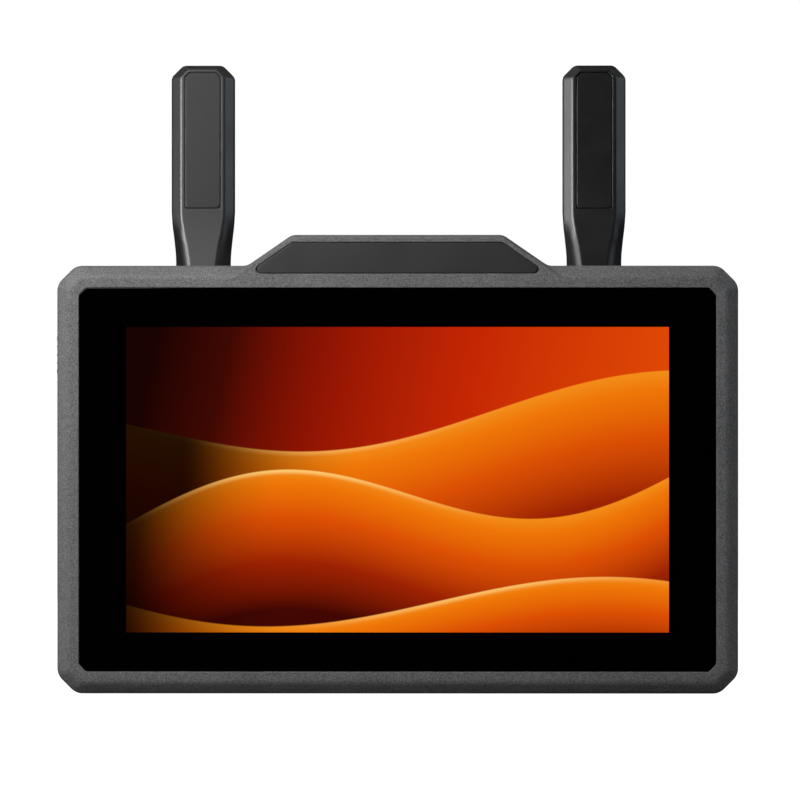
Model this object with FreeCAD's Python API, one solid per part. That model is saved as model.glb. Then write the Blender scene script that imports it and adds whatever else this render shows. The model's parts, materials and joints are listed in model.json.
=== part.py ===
import FreeCAD, Part
import math
import os

# Camera field monitor with two folding antennas, in millimetres.
# X runs to the viewer's right, Y away from the viewer and Z up. The origin is the mouth of the
# tripod socket in the bottom. A depth is counted from the front plane of the bezel.

# Screen, glass and frame
SCREEN_WIDTH = 155.0
SCREEN_HEIGHT = 87.2
GLASS_MARGIN_SIDE = 13.45      # black glass beside the picture
GLASS_MARGIN_TOP = 11.25       # black glass above and below the picture
FRAME_BORDER = 6.15            # frame that shows round the glass
CORNER_CUT = 5.3               # straight cut across each corner of the body
CORNER_RADIUS = 4.5            # rounding at both ends of that cut
BEZEL_DEPTH = 10.0             # front plane to the parting plane
BEVEL_WIDTH = 3.6
BEVEL_DEPTH = 2.6
BEVEL_WIDTH_SHARES = (1.0, 0.72, 0.14, 0.0)    # the bevel's section, from the front plane
BEVEL_DEPTH_SHARES = (0.0, 0.13, 0.73, 1.0)
BEZEL_WALL = 2.2

# Brow on top of the frame, and its name plate
BROW_HEIGHT = 8.8
BROW_TOP_HALF = 30.1
BROW_BASE_HALF = 42.9
BROW_BEVEL_WIDTH = 0.7
BROW_RADIUS = 4.0
PLATE_RIM = 1.8                # brow that shows round the plate
PLATE_HEIGHT = 9.0
PLATE_THICKNESS = 0.8
PLATE_RECESS = 0.2             # plate's face below the bezel's face
PLATE_TIP_RADIUS = 1.25
PLATE_GAP = 0.15

# Cover glass, tape, display and backlight
GLASS_THICKNESS = 1.1
GLASS_RECESS = 0.5
GLASS_GAP = 0.15
TAPE_THICKNESS = 0.5
LEDGE_THICKNESS = 1.8          # shelf of the bezel that carries the tape
LCD_THICKNESS = 1.2
LCD_MARGIN = 3.5               # cell beyond the picture
BACKLIGHT_THICKNESS = 2.6
BACKLIGHT_MARGIN = 5.0
LEDGE_GAP = 1.3                # backlight to the shelf's inner edge
OPENING_RADIUS = 1.0

# Chassis plate
CHASSIS_THICKNESS = 1.5
CHASSIS_GAP = 0.4              # backlight to chassis
CHASSIS_EDGE_GAP = 2.6         # chassis to the bezel's inner wall
CHASSIS_SLOT_HEIGHT = 8.4

# Bosses and screws that hold the housing to the bezel
BOSS_RADIUS = 2.7
BOSS_WALL_GAP = 6.2            # boss axis to the bezel's inner wall at the sides
BOSS_EDGE_GAP = 4.9            # boss axis to the bezel's inner wall at top and bottom
BOSS_CORNER_GAP = 7.2          # the same for the four corner bosses
BOSS_BOTTOM_INSET = 41.1       # bottom and top boss axes from the body's sides
BOSS_TOP_INSET = 20.1
SCREW_PILOT = 0.8              # hole radius that a screw cuts its thread in
SCREW_SHANK = 0.75
SCREW_HEAD_RADIUS = 1.8
SCREW_HEAD_HEIGHT = 1.2
SCREW_SOCKET_RADIUS = 0.8
SCREW_SOCKET_DEPTH = 0.6
SCREW_BITE = 4.0               # shank inside the bezel's boss
SCREW_FLOOR = 2.2              # housing left under the screw's head
SCREW_HOLE = 1.1
POST_RADIUS = 3.4
HEAD_GAP = 0.4

# Boards
BOARD_THICKNESS = 1.6
BOARD_LIFT = 2.0               # chassis to board
STANDOFF_RADIUS = 2.1
BOARD_GAP = 9.3                # side board to main board
MAIN_BOARD_BOTTOM = 11.0
MAIN_BOARD_GAP = 2.0           # main board's top to the radio board
SIDE_BOARD_WIDTH = 44.0
SIDE_BOARD_DROP = 27.0         # side board's lower edge below the body's middle
SIDE_BOARD_TOP_GAP = 14.0
BOARD_EDGE_GAP = 1.8           # board to the housing's side wall
RADIO_BOARD_INSET = 10.0       # radio board's side from the hump's side
RADIO_BOARD_TOP_GAP = 11.0
RADIO_BOARD_HEIGHT = 26.0
BOARD_SCREW_INSET = 4.0
CHIP_HEIGHT = 1.4
CHIP_SIDE = 17.0
SMALL_CHIP_SIDE = 9.0
SHIELD_INSET = 10.0
SHIELD_HEIGHT = 20.0
SHIELD_THICKNESS = 2.0
SHIELD_WALL = 0.4

# Heat sink and fan
PAD_THICKNESS = 1.0
SINK_HALF = 20.0
SINK_HEIGHT = 26.0
SINK_BASE = 2.0
FIN_HEIGHT = 9.0
FIN_THICKNESS = 1.0
FIN_COUNT = 11
FAN_SIDE = 30.0
FAN_THICKNESS = 7.0
FAN_DROP = 25.0                # fan's axis below the top of the body
FAN_BORE_RADIUS = 13.6
FAN_TIP_GAP = 0.6
FAN_HUB_RADIUS = 6.0
FAN_ARM_WIDTH = 2.4
FAN_ARM_THICKNESS = 1.0
FAN_SHAFT_RADIUS = 0.75
FAN_SHAFT_GAP = 0.05
FAN_BLADE_COUNT = 7
FAN_BLADE_THICKNESS = 0.7
FAN_BLADE_PITCH = 32.0         # degrees
FAN_HOLE_INSET = 3.0
FAN_ROTOR_GAP = 0.4

# Rear housing
HOUSING_WALL = 2.0
WING_DEPTH = 19.0              # front plane to the back of the wings
WING_EDGE = 2.0
WING_EDGE_DEPTH = 1.7
HUMP_DEPTH = 35.0
HUMP_EAR_GAP = 2.2             # hump's side to the inner ear's face
HUMP_EDGE = 2.2
HUMP_EDGE_DEPTH = 2.2
HUMP_RADIUS = 3.0
SEAM_INSET = 0.35
SEAM_DEPTH = 0.5
LIP_THICKNESS = 1.0
LIP_HEIGHT = 1.5
LIP_GAP = 0.1
GRILLE_RADIUS = 13.2
GRILLE_SLOT = 1.7
GRILLE_PITCH = 3.0
GRILLE_COUNT = 9
VENT_COUNT = 8
VENT_SLOT = 1.8
VENT_PITCH = 4.0
VENT_DROP = 5.0                # first vent below the body's middle
VENT_DEPTH_FROM = 21.0
VENT_DEPTH_TO = 31.5
BUMPER_HALF = 30.0
BUMPER_HEIGHT = 0.6

# Tripod sockets, 1/4 inch
SOCKET_DEPTH = 24.0            # front plane to the sockets' axis
SOCKET_RADIUS = 3.175
SOCKET_LENGTH = 9.0
INSERT_RADIUS = 4.8
INSERT_FLANGE_RADIUS = 6.0
INSERT_FLANGE = 1.0
SOCKET_BOSS_RADIUS = 7.5
SOCKET_CAP = 1.5
PIN_HOLE_RADIUS = 1.6
PIN_HOLE_SPACING = 20.0
PIN_HOLE_LENGTH = 5.0
PIN_BOSS_RADIUS = 3.2

# Ports
PORT_SETBACK = 0.9             # socket's mouth below the housing's side
PORT_GAP = 0.25
HDMI_WIDTH = 15.0
HDMI_THICKNESS = 5.6
HDMI_LENGTH = 11.5
HDMI_SHELL = 0.45
HDMI_CHAMFER = 1.3
HDMI_TONGUE = 1.7
HDMI_STEP = 13.0               # each socket's middle from the body's middle
USB_WIDTH = 8.9
USB_THICKNESS = 3.3
USB_LENGTH = 7.5
USB_SHELL = 0.35
USB_TONGUE = 0.7
USB_DROP = 9.5
JACK_WIDTH = 6.4
JACK_THICKNESS = 5.2
JACK_LENGTH = 12.0
JACK_RADIUS = 1.8
JACK_DROP = 20.0
DC_WIDTH = 8.6
DC_THICKNESS = 7.6
DC_LENGTH = 12.0
DC_RADIUS = 2.9
DC_PIN_RADIUS = 1.0
DC_BORE_LENGTH = 10.0
DC_RISE = 16.0

# Slide switch
KNOB_DROP = 30.7               # knob's lower end below the top of the body
KNOB_HEIGHT = 10.7
KNOB_HALF_DEPTH = 1.8
KNOB_PROUD = 1.2               # tops of the ridges beyond the housing's side
KNOB_BASE_PROUD = 0.55
KNOB_END = 1.3
KNOB_RIB = 0.65
KNOB_RIB_COUNT = 3
KNOB_GAP = 0.1
KNOB_TRAVEL = 3.0
KNOB_FLANGE = 1.1
KNOB_FLANGE_EXTRA = 1.3
KNOB_FLANGE_GAP = 0.1
SWITCH_DEPTH = 14.2            # front plane to the knob's middle
STEM_HALF = 0.8
STEM_LENGTH = 3.0
SWITCH_BODY_LENGTH = 8.0
SWITCH_BODY_MARGIN = 2.2
SWITCH_BODY_THICKNESS = 4.8

# Battery plate for slide-on packs
BATTERY_HALF = 19.4            # half the width between the rails
RAIL_THICKNESS = 2.6
BATTERY_PLATE_LOW = 5.0
BATTERY_PLATE_GAP = 2.0        # plate's upper end to the fan
BATTERY_BASE = 2.2
RAIL_HEIGHT = 3.9
LIP_REACH = 1.3
RAIL_LIP = 1.4
RAIL_LIP_LENGTH = 16.0
RAIL_LIP_LOW = 9.0             # lower lip from the plate's lower end
RAIL_LIP_HIGH = 15.0           # upper lip from the plate's upper end
BATTERY_RADIUS = 2.0
CONTACT_HALF = 9.5
CONTACT_HEIGHT = 6.5
CONTACT_THICKNESS = 2.9
CONTACT_LOW = 4.0
BLADE_LENGTH = 6.0
BLADE_THICKNESS = 0.8
BLADE_HEIGHT = 1.6
BLADE_SPACING = 6.4
CONTACT_STEM_HALF = 4.0
CONTACT_STEM_LENGTH = 3.0
BATTERY_SCREW_X = 15.0
BATTERY_SCREW_LOW = 14.0
BATTERY_SCREW_HIGH = 23.0

# Battery latch
LATCH_HALF = 5.0
LATCH_HEIGHT = 8.0
LATCH_TOP_GAP = 3.0            # latch below the plate's upper end
LATCH_PROUD = 2.2
LATCH_TRAVEL = 2.0
LATCH_FLANGE = 1.0
LATCH_FLANGE_EXTRA = 1.5
LATCH_GAP = 0.25
LATCH_BOX_WALL = 1.4
SPRING_LENGTH = 4.4
SPRING_RADIUS = 2.2
SPRING_WIRE = 0.22
SPRING_TURNS = 5

# Antennas
ANTENNA_INSET = 40.7           # antenna's middle from the body's side
FOLD_DEPTH = 28.8              # front plane to the fold axis
FOLD_DROP = 11.0               # fold axis below the top of the body
ANTENNA_HALF = 9.1
ANTENNA_HALF_DEPTH = 5.0
ANTENNA_RISE = 58.2            # antenna's top above the body
SHOULDER_RISE = 16.0           # where the neck starts
FACET_HALF = 6.2
FACET_TOP_GAP = 1.25
FACET_BEVEL_DEPTH = 2.6
ANTENNA_CUT = 3.4
FACET_CUT = 2.2
ANTENNA_RADIUS = 1.8
FACET_RADIUS = 0.9
NECK_HEIGHT_SHARES = (0.0, 0.30, 0.66, 1.0)       # from the shoulder down to the swivel
NECK_HALF_SHARES = (1.0, 0.962, 0.872, 0.862)     # of the antenna's half width
NECK_DEPTH_SHARES = (1.0, 1.02, 1.12, 1.26)       # of the antenna's half depth
NECK_FACET_SHARES = (1.0, 0.86, 0.62, 0.52)       # of the facet's half width
NECK_SIDE_SHARES = (1.0, 0.85, 0.55, 0.45)        # of the flat side's half depth
NECK_BULGE_SHARES = (0.0, 0.05, 0.12, 0.15)       # bow of the corner, of its chord
PANEL_HALF = 4.95
PANEL_RISE = 1.3               # panel's lower edge above the neck's start
PANEL_TOP_GAP = 0.95           # panel below the facet's top
PANEL_THICKNESS = 0.8
PANEL_GROOVE = 0.25
PANEL_CUT = 1.3
PANEL_RADIUS = 1.0
ANTENNA_WALL = 1.3
BACK_SPLIT = 1.0               # back cover starts this far behind the antenna's middle
BACK_DROP = 8.0                # back cover's lower edge below the neck's start
BACK_SEAM = 0.12
RADIATOR_HALF = 5.0
RADIATOR_THICKNESS = 0.8
RADIATOR_DROP = 4.0
RADIATOR_HEIGHT = 40.0
BARREL_RADIUS = 6.4
BARREL_HALF = 7.9
COLLAR_RADIUS = 7.7
COLLAR_HEIGHT = 7.6
SWIVEL_RADIUS = 3.0
SWIVEL_LENGTH = 4.4
SWIVEL_GAP = 0.3
RUNNING_GAP = 0.05
HINGE_PIN_RADIUS = 1.9
HINGE_PIN_BORE = 0.9
HINGE_HEAD_RADIUS = 3.0
HINGE_HEAD_HEIGHT = 1.0
EAR_GAP = 0.3
EAR_THICKNESS = 3.6
EAR_RADIUS = 6.8
EAR_DROP = 16.0                # ear's root below the fold axis
EAR_TOP_DROP = 1.5             # ear's root below the top of the body

# Leads and flexes
COAX_RADIUS = 0.6
WIRE_RADIUS = 0.7
FLEX_THICKNESS = 0.3
DISPLAY_FLEX_HALF = 14.0
TOUCH_FLEX_HALF = 5.0
TOUCH_FLEX_X = 26.0
FLEX_DROP = 1.6                # flex loop below the main board's edge
BOARD_FLEX_HALF = 8.0
CONNECTOR_THICKNESS = 1.2
CONNECTOR_HEIGHT = 3.0

# Cutting tools run past what they cut by this much
OVERRUN = 1.0

# Sizes that follow from the ones above
glass_half = SCREEN_WIDTH / 2 + GLASS_MARGIN_SIDE
body_half = glass_half + FRAME_BORDER
body_height = SCREEN_HEIGHT + 2 * (GLASS_MARGIN_TOP + FRAME_BORDER)
body_middle = body_height / 2
brow_top = body_height + BROW_HEIGHT
glass_back = GLASS_RECESS + GLASS_THICKNESS
ledge_front = glass_back + TAPE_THICKNESS
ledge_back = ledge_front + LEDGE_THICKNESS
lcd_back = glass_back + LCD_THICKNESS
backlight_back = lcd_back + BACKLIGHT_THICKNESS
chassis_front = backlight_back + CHASSIS_GAP
chassis_back = chassis_front + CHASSIS_THICKNESS
board_front = chassis_back + BOARD_LIFT
board_back = board_front + BOARD_THICKNESS
wing_inner = WING_DEPTH - HOUSING_WALL
hump_inner = HUMP_DEPTH - HOUSING_WALL
side_inner = body_half - HOUSING_WALL
bezel_inner = body_half - BEZEL_WALL
board_side = side_inner - BOARD_EDGE_GAP
antenna_x = body_half - ANTENNA_INSET
fold_z = body_height - FOLD_DROP
antenna_top = body_height + ANTENNA_RISE
shoulder_z = body_height + SHOULDER_RISE
panel_low = shoulder_z + PANEL_RISE
back_low = shoulder_z - BACK_DROP
radiator_low = shoulder_z - RADIATOR_DROP
ear_low = fold_z - EAR_DROP
hump_half = antenna_x - BARREL_HALF - EAR_GAP - HUMP_EAR_GAP
boss_bottom_x = body_half - BOSS_BOTTOM_INSET
boss_top_x = body_half - BOSS_TOP_INSET
radio_board_half = hump_half - RADIO_BOARD_INSET
radio_board_bottom = body_height - RADIO_BOARD_TOP_GAP - RADIO_BOARD_HEIGHT
shield_half = radio_board_half - SHIELD_INSET
main_board_left = -board_side + SIDE_BOARD_WIDTH + BOARD_GAP
main_board_top = radio_board_bottom - MAIN_BOARD_GAP
main_board_height = main_board_top - MAIN_BOARD_BOTTOM
side_board_bottom = body_middle - SIDE_BOARD_DROP
side_board_top = body_height - SIDE_BOARD_TOP_GAP
fan_z = body_height - FAN_DROP
hdmi_in_z = body_middle + HDMI_STEP
hdmi_out_z = body_middle - HDMI_STEP
usb_z = body_middle - USB_DROP
jack_z = body_middle - JACK_DROP
dc_z = body_middle + DC_RISE
knob_low = body_height - KNOB_DROP
battery_base_back = HUMP_DEPTH + BATTERY_BASE
battery_plate_top = fan_z - FAN_SIDE / 2 - BATTERY_PLATE_GAP
battery_plate_height = battery_plate_top - BATTERY_PLATE_LOW
latch_top = battery_plate_top - LATCH_TOP_GAP
latch_middle = latch_top - LATCH_HEIGHT / 2
swivel_z = fold_z + COLLAR_HEIGHT
facet_depth = FOLD_DEPTH - ANTENNA_HALF_DEPTH
fan_back = hump_inner
fan_front = fan_back - FAN_THICKNESS
shield_back = board_back + SHIELD_THICKNESS
pad_back = shield_back + PAD_THICKNESS


def at(x, depth, z):
    return FreeCAD.Vector(x, depth - SOCKET_DEPTH, z)


RIGHT = FreeCAD.Vector(1, 0, 0)
BACK = FreeCAD.Vector(0, 1, 0)
UP = FreeCAD.Vector(0, 0, 1)


# Simple solids

def block(x_from, x_to, depth_from, depth_to, z_from, z_to):
    corner = at(min(x_from, x_to), min(depth_from, depth_to), min(z_from, z_to))
    return Part.makeBox(
        abs(x_to - x_from), abs(depth_to - depth_from), abs(z_to - z_from), corner)


def rod_back(x, z, radius, depth_from, depth_to):
    return Part.makeCylinder(radius, depth_to - depth_from, at(x, depth_from, z), BACK)


def rod_right(depth, z, radius, x_from, x_to):
    return Part.makeCylinder(radius, x_to - x_from, at(x_from, depth, z), RIGHT)


def rod_up(x, depth, radius, z_from, z_to):
    return Part.makeCylinder(radius, z_to - z_from, at(x, depth, z_from), UP)


def joined(shapes):
    shapes = list(shapes)
    if len(shapes) == 1:
        return shapes[0]
    return shapes[0].fuse(shapes[1:]).removeSplitter()


def group(solids):
    return Part.makeCompound(list(solids))


def mirrored(shape):
    return shape.mirror(FreeCAD.Vector(0, 0, 0), RIGHT)


# Outlines. A corner is (x, z, rounding radius), and an outline lies in a plane of equal depth.

def rounding(before, here, after, radius):
    """Start, middle and end of the arc of this radius in the corner at here."""
    to_before = (before - here).normalize()
    to_after = (after - here).normalize()
    half = to_before.getAngle(to_after) / 2
    reach = radius / math.tan(half)
    middle_way = (to_before + to_after).normalize()
    middle = here + middle_way * (radius / math.sin(half) - radius)
    return here + to_before * reach, middle, here + to_after * reach


def closed_wire(points, radii):
    count = len(points)
    starts = []
    for i, (point, radius) in enumerate(zip(points, radii)):
        if radius > 0:
            starts.append(rounding(points[i - 1], point, points[(i + 1) % count], radius))
        else:
            starts.append((point, None, point))
    edges = []
    for i, (start, middle, end) in enumerate(starts):
        if middle is not None:
            edges.append(Part.Arc(start, middle, end).toShape())
        edges.append(Part.LineSegment(end, starts[(i + 1) % count][0]).toShape())
    return Part.Wire(edges)


def outline(corners, depth):
    points = [at(x, depth, z) for x, z, radius in corners]
    return closed_wire(points, [radius for x, z, radius in corners])


def slab(corners, depth_from, depth_to):
    return Part.Face(outline(corners, depth_from)).extrude(BACK * (depth_to - depth_from))


def tapered(corners_from, depth_from, corners_to, depth_to):
    wires = [outline(corners_from, depth_from), outline(corners_to, depth_to)]
    return Part.makeLoft(wires, True, True)


def both_sides(right_corners):
    """Closes a right half, listed from the bottom up, with its mirror image."""
    return right_corners + [(-x, z, radius) for x, z, radius in reversed(right_corners)]


def cut_corner_share(inset, cut):
    """Length of a 45 degree corner cut once every edge has moved in by inset."""
    return max(cut - inset * (2 - math.sqrt(2)), cut / 5)


def body_right(inset, radius):
    cut = cut_corner_share(inset, CORNER_CUT)
    half, low, high = body_half - inset, inset, body_height - inset
    return [
        (half - cut, low, radius),
        (half, low + cut, radius),
        (half, high - cut, radius),
        (half - cut, high, radius),
    ]


def inner_radius(inset):
    return max(CORNER_RADIUS - inset, CORNER_RADIUS / 4)


def slant_x(z, inset):
    """Half width of the brow's flank at height z, moved inwards by inset."""
    run = BROW_BASE_HALF - BROW_TOP_HALF
    sideways = math.hypot(run, BROW_HEIGHT) / BROW_HEIGHT
    return BROW_BASE_HALF - (z - body_height) * run / BROW_HEIGHT - inset * sideways


def body_outline(inset):
    return both_sides(body_right(inset, inner_radius(inset)))


def bezel_outline(inset, brow_inset):
    """The body with its brow, each with its own inset."""
    top, brow = body_height - inset, brow_top - brow_inset
    right = body_right(inset, inner_radius(inset))
    right.append((slant_x(top, brow_inset), top, BROW_RADIUS))
    right.append((slant_x(brow, brow_inset), brow, BROW_RADIUS - brow_inset))
    return both_sides(right)


def hump_outline(inset):
    """The raised middle of the housing, whose top follows the brow."""
    half, top = hump_half - inset, brow_top - inset
    run = BROW_BASE_HALF - BROW_TOP_HALF
    shoulder = body_height - (half - slant_x(body_height, inset)) * BROW_HEIGHT / run
    radius = max(HUMP_RADIUS - inset, HUMP_RADIUS / 4)
    return both_sides([
        (half, inset, radius),
        (half, shoulder, radius),
        (slant_x(top, inset), top, BROW_RADIUS - inset / 2),
    ])


def centred_rectangle(half_width, half_height, middle_z, radius):
    return both_sides([
        (half_width, middle_z - half_height, radius),
        (half_width, middle_z + half_height, radius),
    ])


def glass_outline(gap):
    inset = FRAME_BORDER + gap
    return both_sides(body_right(inset, OPENING_RADIUS))


def plate_outline(gap):
    low = brow_top - PLATE_RIM - PLATE_HEIGHT + gap
    high = brow_top - PLATE_RIM - gap
    return both_sides([
        (slant_x(low, PLATE_RIM + gap), low, PLATE_TIP_RADIUS),
        (slant_x(high, PLATE_RIM + gap), high, BROW_RADIUS - PLATE_RIM),
    ])


# Where the screws go: (x, z) pairs

def housing_screw_places():
    side = bezel_inner - BOSS_WALL_GAP
    low, high = BEZEL_WALL + BOSS_EDGE_GAP, body_height - BEZEL_WALL - BOSS_EDGE_GAP
    corner_low, corner_high = BEZEL_WALL + BOSS_CORNER_GAP, body_height - BEZEL_WALL - BOSS_CORNER_GAP
    right = [
        (side, corner_low), (side, body_middle), (side, corner_high),
        (boss_bottom_x, low), (boss_top_x, high),
    ]
    return right + [(-x, z) for x, z in right]


def chassis_screw_places():
    side = bezel_inner - BOSS_WALL_GAP
    quarter = (body_middle - BEZEL_WALL - BOSS_CORNER_GAP) / 2
    low, high = BEZEL_WALL + BOSS_EDGE_GAP, body_height - BEZEL_WALL - BOSS_EDGE_GAP
    right = [
        (side, body_middle - quarter), (side, body_middle + quarter),
        (boss_bottom_x - 4 * BOSS_RADIUS, low), (boss_top_x - 4 * BOSS_RADIUS, high),
    ]
    return right + [(-x, z) for x, z in right]


def board_corners(left, right, low, high):
    inset = BOARD_SCREW_INSET
    return [(x, z) for x in (left + inset, right - inset) for z in (low + inset, high - inset)]


def main_board_screws():
    right = board_side - HDMI_LENGTH
    return board_corners(main_board_left, right, MAIN_BOARD_BOTTOM, main_board_top)


def side_board_screws():
    left, right = -board_side + DC_LENGTH, -board_side + SIDE_BOARD_WIDTH
    return board_corners(left, right, side_board_bottom, side_board_top)


def radio_board_screws():
    top = radio_board_bottom + RADIO_BOARD_HEIGHT
    return board_corners(-radio_board_half, radio_board_half, radio_board_bottom, top)


def board_screw_places():
    return main_board_screws() + side_board_screws() + radio_board_screws()


def battery_screw_places():
    low, high = BATTERY_PLATE_LOW + BATTERY_SCREW_LOW, battery_plate_top - BATTERY_SCREW_HIGH
    return [(x, z) for x in (-BATTERY_SCREW_X, BATTERY_SCREW_X) for z in (low, high)]


def fan_hole_places():
    reach = FAN_SIDE / 2 - FAN_HOLE_INSET
    return [(x, fan_z + z) for x in (-reach, reach) for z in (-reach, reach)]


def screw(x, z, seat, tip):
    """A pan-head screw put in from the back: its head stands on seat, its point is at tip."""
    head = rod_back(x, z, SCREW_HEAD_RADIUS, seat, seat + SCREW_HEAD_HEIGHT)
    head = head.makeFillet(SCREW_HEAD_HEIGHT / 3, [head.Edges[0]])
    shank = rod_back(x, z, SCREW_SHANK, tip, seat)
    socket = rod_back(
        x, z, SCREW_SOCKET_RADIUS, seat + SCREW_HEAD_HEIGHT - SCREW_SOCKET_DEPTH,
        seat + SCREW_HEAD_HEIGHT + OVERRUN)
    return joined([head, shank]).cut(socket)


# Front

def front_bezel():
    sections = [
        outline(bezel_outline(BEVEL_WIDTH * width, BROW_BEVEL_WIDTH * width), BEVEL_DEPTH * depth)
        for width, depth in zip(BEVEL_WIDTH_SHARES, BEVEL_DEPTH_SHARES)
    ]
    bevels = [Part.makeLoft(list(pair), True, True) for pair in zip(sections, sections[1:])]
    rim = slab(bezel_outline(0, 0), BEVEL_DEPTH, BEZEL_DEPTH)
    bezel = joined(bevels + [rim])
    opening_half = SCREEN_WIDTH / 2 + BACKLIGHT_MARGIN + LEDGE_GAP
    opening_height = SCREEN_HEIGHT / 2 + BACKLIGHT_MARGIN + LEDGE_GAP
    bezel = bezel.cut([
        slab(glass_outline(0), -OVERRUN, ledge_front),
        slab(centred_rectangle(opening_half, opening_height, body_middle, OPENING_RADIUS),
             0, ledge_back + OVERRUN),
        slab(bezel_outline(BEZEL_WALL, BEZEL_WALL), ledge_back, BEZEL_DEPTH + OVERRUN),
        slab(plate_outline(0), -OVERRUN, PLATE_THICKNESS + PLATE_RECESS),
    ])
    bosses = [rod_back(x, z, BOSS_RADIUS, ledge_back, BEZEL_DEPTH) for x, z in housing_screw_places()]
    bosses += [rod_back(x, z, BOSS_RADIUS, ledge_back, chassis_front) for x, z in chassis_screw_places()]
    pilots = [
        rod_back(x, z, SCREW_PILOT, ledge_back, BEZEL_DEPTH + OVERRUN)
        for x, z in housing_screw_places() + chassis_screw_places()
    ]
    return joined([bezel] + bosses).cut(pilots)


def name_plate():
    plate = slab(plate_outline(PLATE_GAP), PLATE_RECESS, PLATE_RECESS + PLATE_THICKNESS)
    return plate


def cover_glass():
    return slab(glass_outline(GLASS_GAP), GLASS_RECESS, glass_back)


def glass_tape():
    inner_half = SCREEN_WIDTH / 2 + BACKLIGHT_MARGIN + LEDGE_GAP
    inner_height = SCREEN_HEIGHT / 2 + BACKLIGHT_MARGIN + LEDGE_GAP
    ring = slab(glass_outline(LEDGE_GAP / 2), glass_back, ledge_front)
    hole = slab(
        centred_rectangle(inner_half, inner_height, body_middle, OPENING_RADIUS),
        glass_back - OVERRUN, ledge_front + OVERRUN)
    return ring.cut(hole)


def lcd_cell():
    half, height = SCREEN_WIDTH / 2 + LCD_MARGIN, SCREEN_HEIGHT / 2 + LCD_MARGIN
    return block(-half, half, glass_back, lcd_back, body_middle - height, body_middle + height)


def backlight_unit():
    half, height = SCREEN_WIDTH / 2 + BACKLIGHT_MARGIN, SCREEN_HEIGHT / 2 + BACKLIGHT_MARGIN
    tray = centred_rectangle(half, height, body_middle, OPENING_RADIUS)
    return slab(tray, lcd_back, backlight_back)


def chassis_plate():
    inset = BEZEL_WALL + CHASSIS_EDGE_GAP
    plate = slab(body_outline(inset), chassis_front, chassis_back)
    standoffs = [
        rod_back(x, z, STANDOFF_RADIUS, chassis_back, board_front) for x, z in board_screw_places()
    ]
    cuts = [
        rod_back(x, z, BOSS_RADIUS + HEAD_GAP, chassis_front - OVERRUN, chassis_back + OVERRUN)
        for x, z in housing_screw_places()
    ]
    cuts += [
        rod_back(x, z, SCREW_HOLE, chassis_front - OVERRUN, chassis_back + OVERRUN)
        for x, z in chassis_screw_places()
    ]
    cuts += [
        rod_back(x, z, SCREW_PILOT, chassis_front - OVERRUN, board_front + OVERRUN)
        for x, z in board_screw_places()
    ]
    for x, half in ((0, DISPLAY_FLEX_HALF + HEAD_GAP), (-TOUCH_FLEX_X, TOUCH_FLEX_HALF + HEAD_GAP)):
        cuts.append(block(
            x - half, x + half, chassis_front - OVERRUN, chassis_back + OVERRUN,
            0, inset + CHASSIS_SLOT_HEIGHT))
    return joined([plate] + standoffs).cut(cuts)


def chassis_screws():
    return group(
        screw(x, z, chassis_back, ledge_back + SCREW_SHANK) for x, z in chassis_screw_places())


# Boards

def board(left, right, low, height, screws):
    plate = block(left, right, board_front, board_back, low, low + height)
    cuts = [
        rod_back(x, z, SCREW_HOLE, board_front - OVERRUN, board_back + OVERRUN) for x, z in screws
    ]
    cuts += [
        rod_back(x, z, POST_RADIUS + HEAD_GAP, board_front - OVERRUN, board_back + OVERRUN)
        for x, z in housing_screw_places()
    ]
    return plate.cut(cuts)


def chip(x, z, side):
    return block(
        x - side / 2, x + side / 2, board_back, board_back + CHIP_HEIGHT, z - side / 2, z + side / 2)


def main_board():
    middle_x = (main_board_left + board_side) / 2
    middle_z = MAIN_BOARD_BOTTOM + main_board_height / 2
    plate = board(
        main_board_left, board_side, MAIN_BOARD_BOTTOM, main_board_height, main_board_screws())
    chips = [
        chip(middle_x, middle_z, CHIP_SIDE),
        chip(middle_x - 2 * SMALL_CHIP_SIDE, middle_z + SMALL_CHIP_SIDE, SMALL_CHIP_SIDE),
        chip(middle_x - 2 * SMALL_CHIP_SIDE, middle_z - SMALL_CHIP_SIDE, SMALL_CHIP_SIDE),
        chip(middle_x + 2 * SMALL_CHIP_SIDE, middle_z, SMALL_CHIP_SIDE),
        flex_connector(0, DISPLAY_FLEX_HALF, display_flex_top()),
        flex_connector(-TOUCH_FLEX_X, TOUCH_FLEX_HALF, display_flex_top()),
    ]
    return joined([plate] + chips)


def side_board():
    left, right = -board_side, -board_side + SIDE_BOARD_WIDTH
    height = side_board_top - side_board_bottom
    return board(left, right, side_board_bottom, height, side_board_screws())


def radio_board():
    return board(
        -radio_board_half, radio_board_half, radio_board_bottom, RADIO_BOARD_HEIGHT,
        radio_board_screws())


def radio_shield():
    low = radio_board_bottom + (RADIO_BOARD_HEIGHT - SHIELD_HEIGHT) / 2
    can = block(-shield_half, shield_half, board_back, shield_back, low, low + SHIELD_HEIGHT)
    hollow = block(
        -shield_half + SHIELD_WALL, shield_half - SHIELD_WALL, board_back - OVERRUN,
        shield_back - SHIELD_WALL, low + SHIELD_WALL, low + SHIELD_HEIGHT - SHIELD_WALL)
    return can.cut(hollow)


def board_screws():
    return group(screw(x, z, board_back, chassis_front + SCREW_SHANK) for x, z in board_screw_places())


def thermal_pad():
    margin = SHIELD_WALL * 5
    low = radio_board_bottom + (RADIO_BOARD_HEIGHT - SHIELD_HEIGHT) / 2 + margin
    half = min(SINK_HALF, shield_half) - margin
    high = low + SHIELD_HEIGHT - 2 * margin
    return block(-half, half, shield_back, pad_back, low, high)


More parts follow.
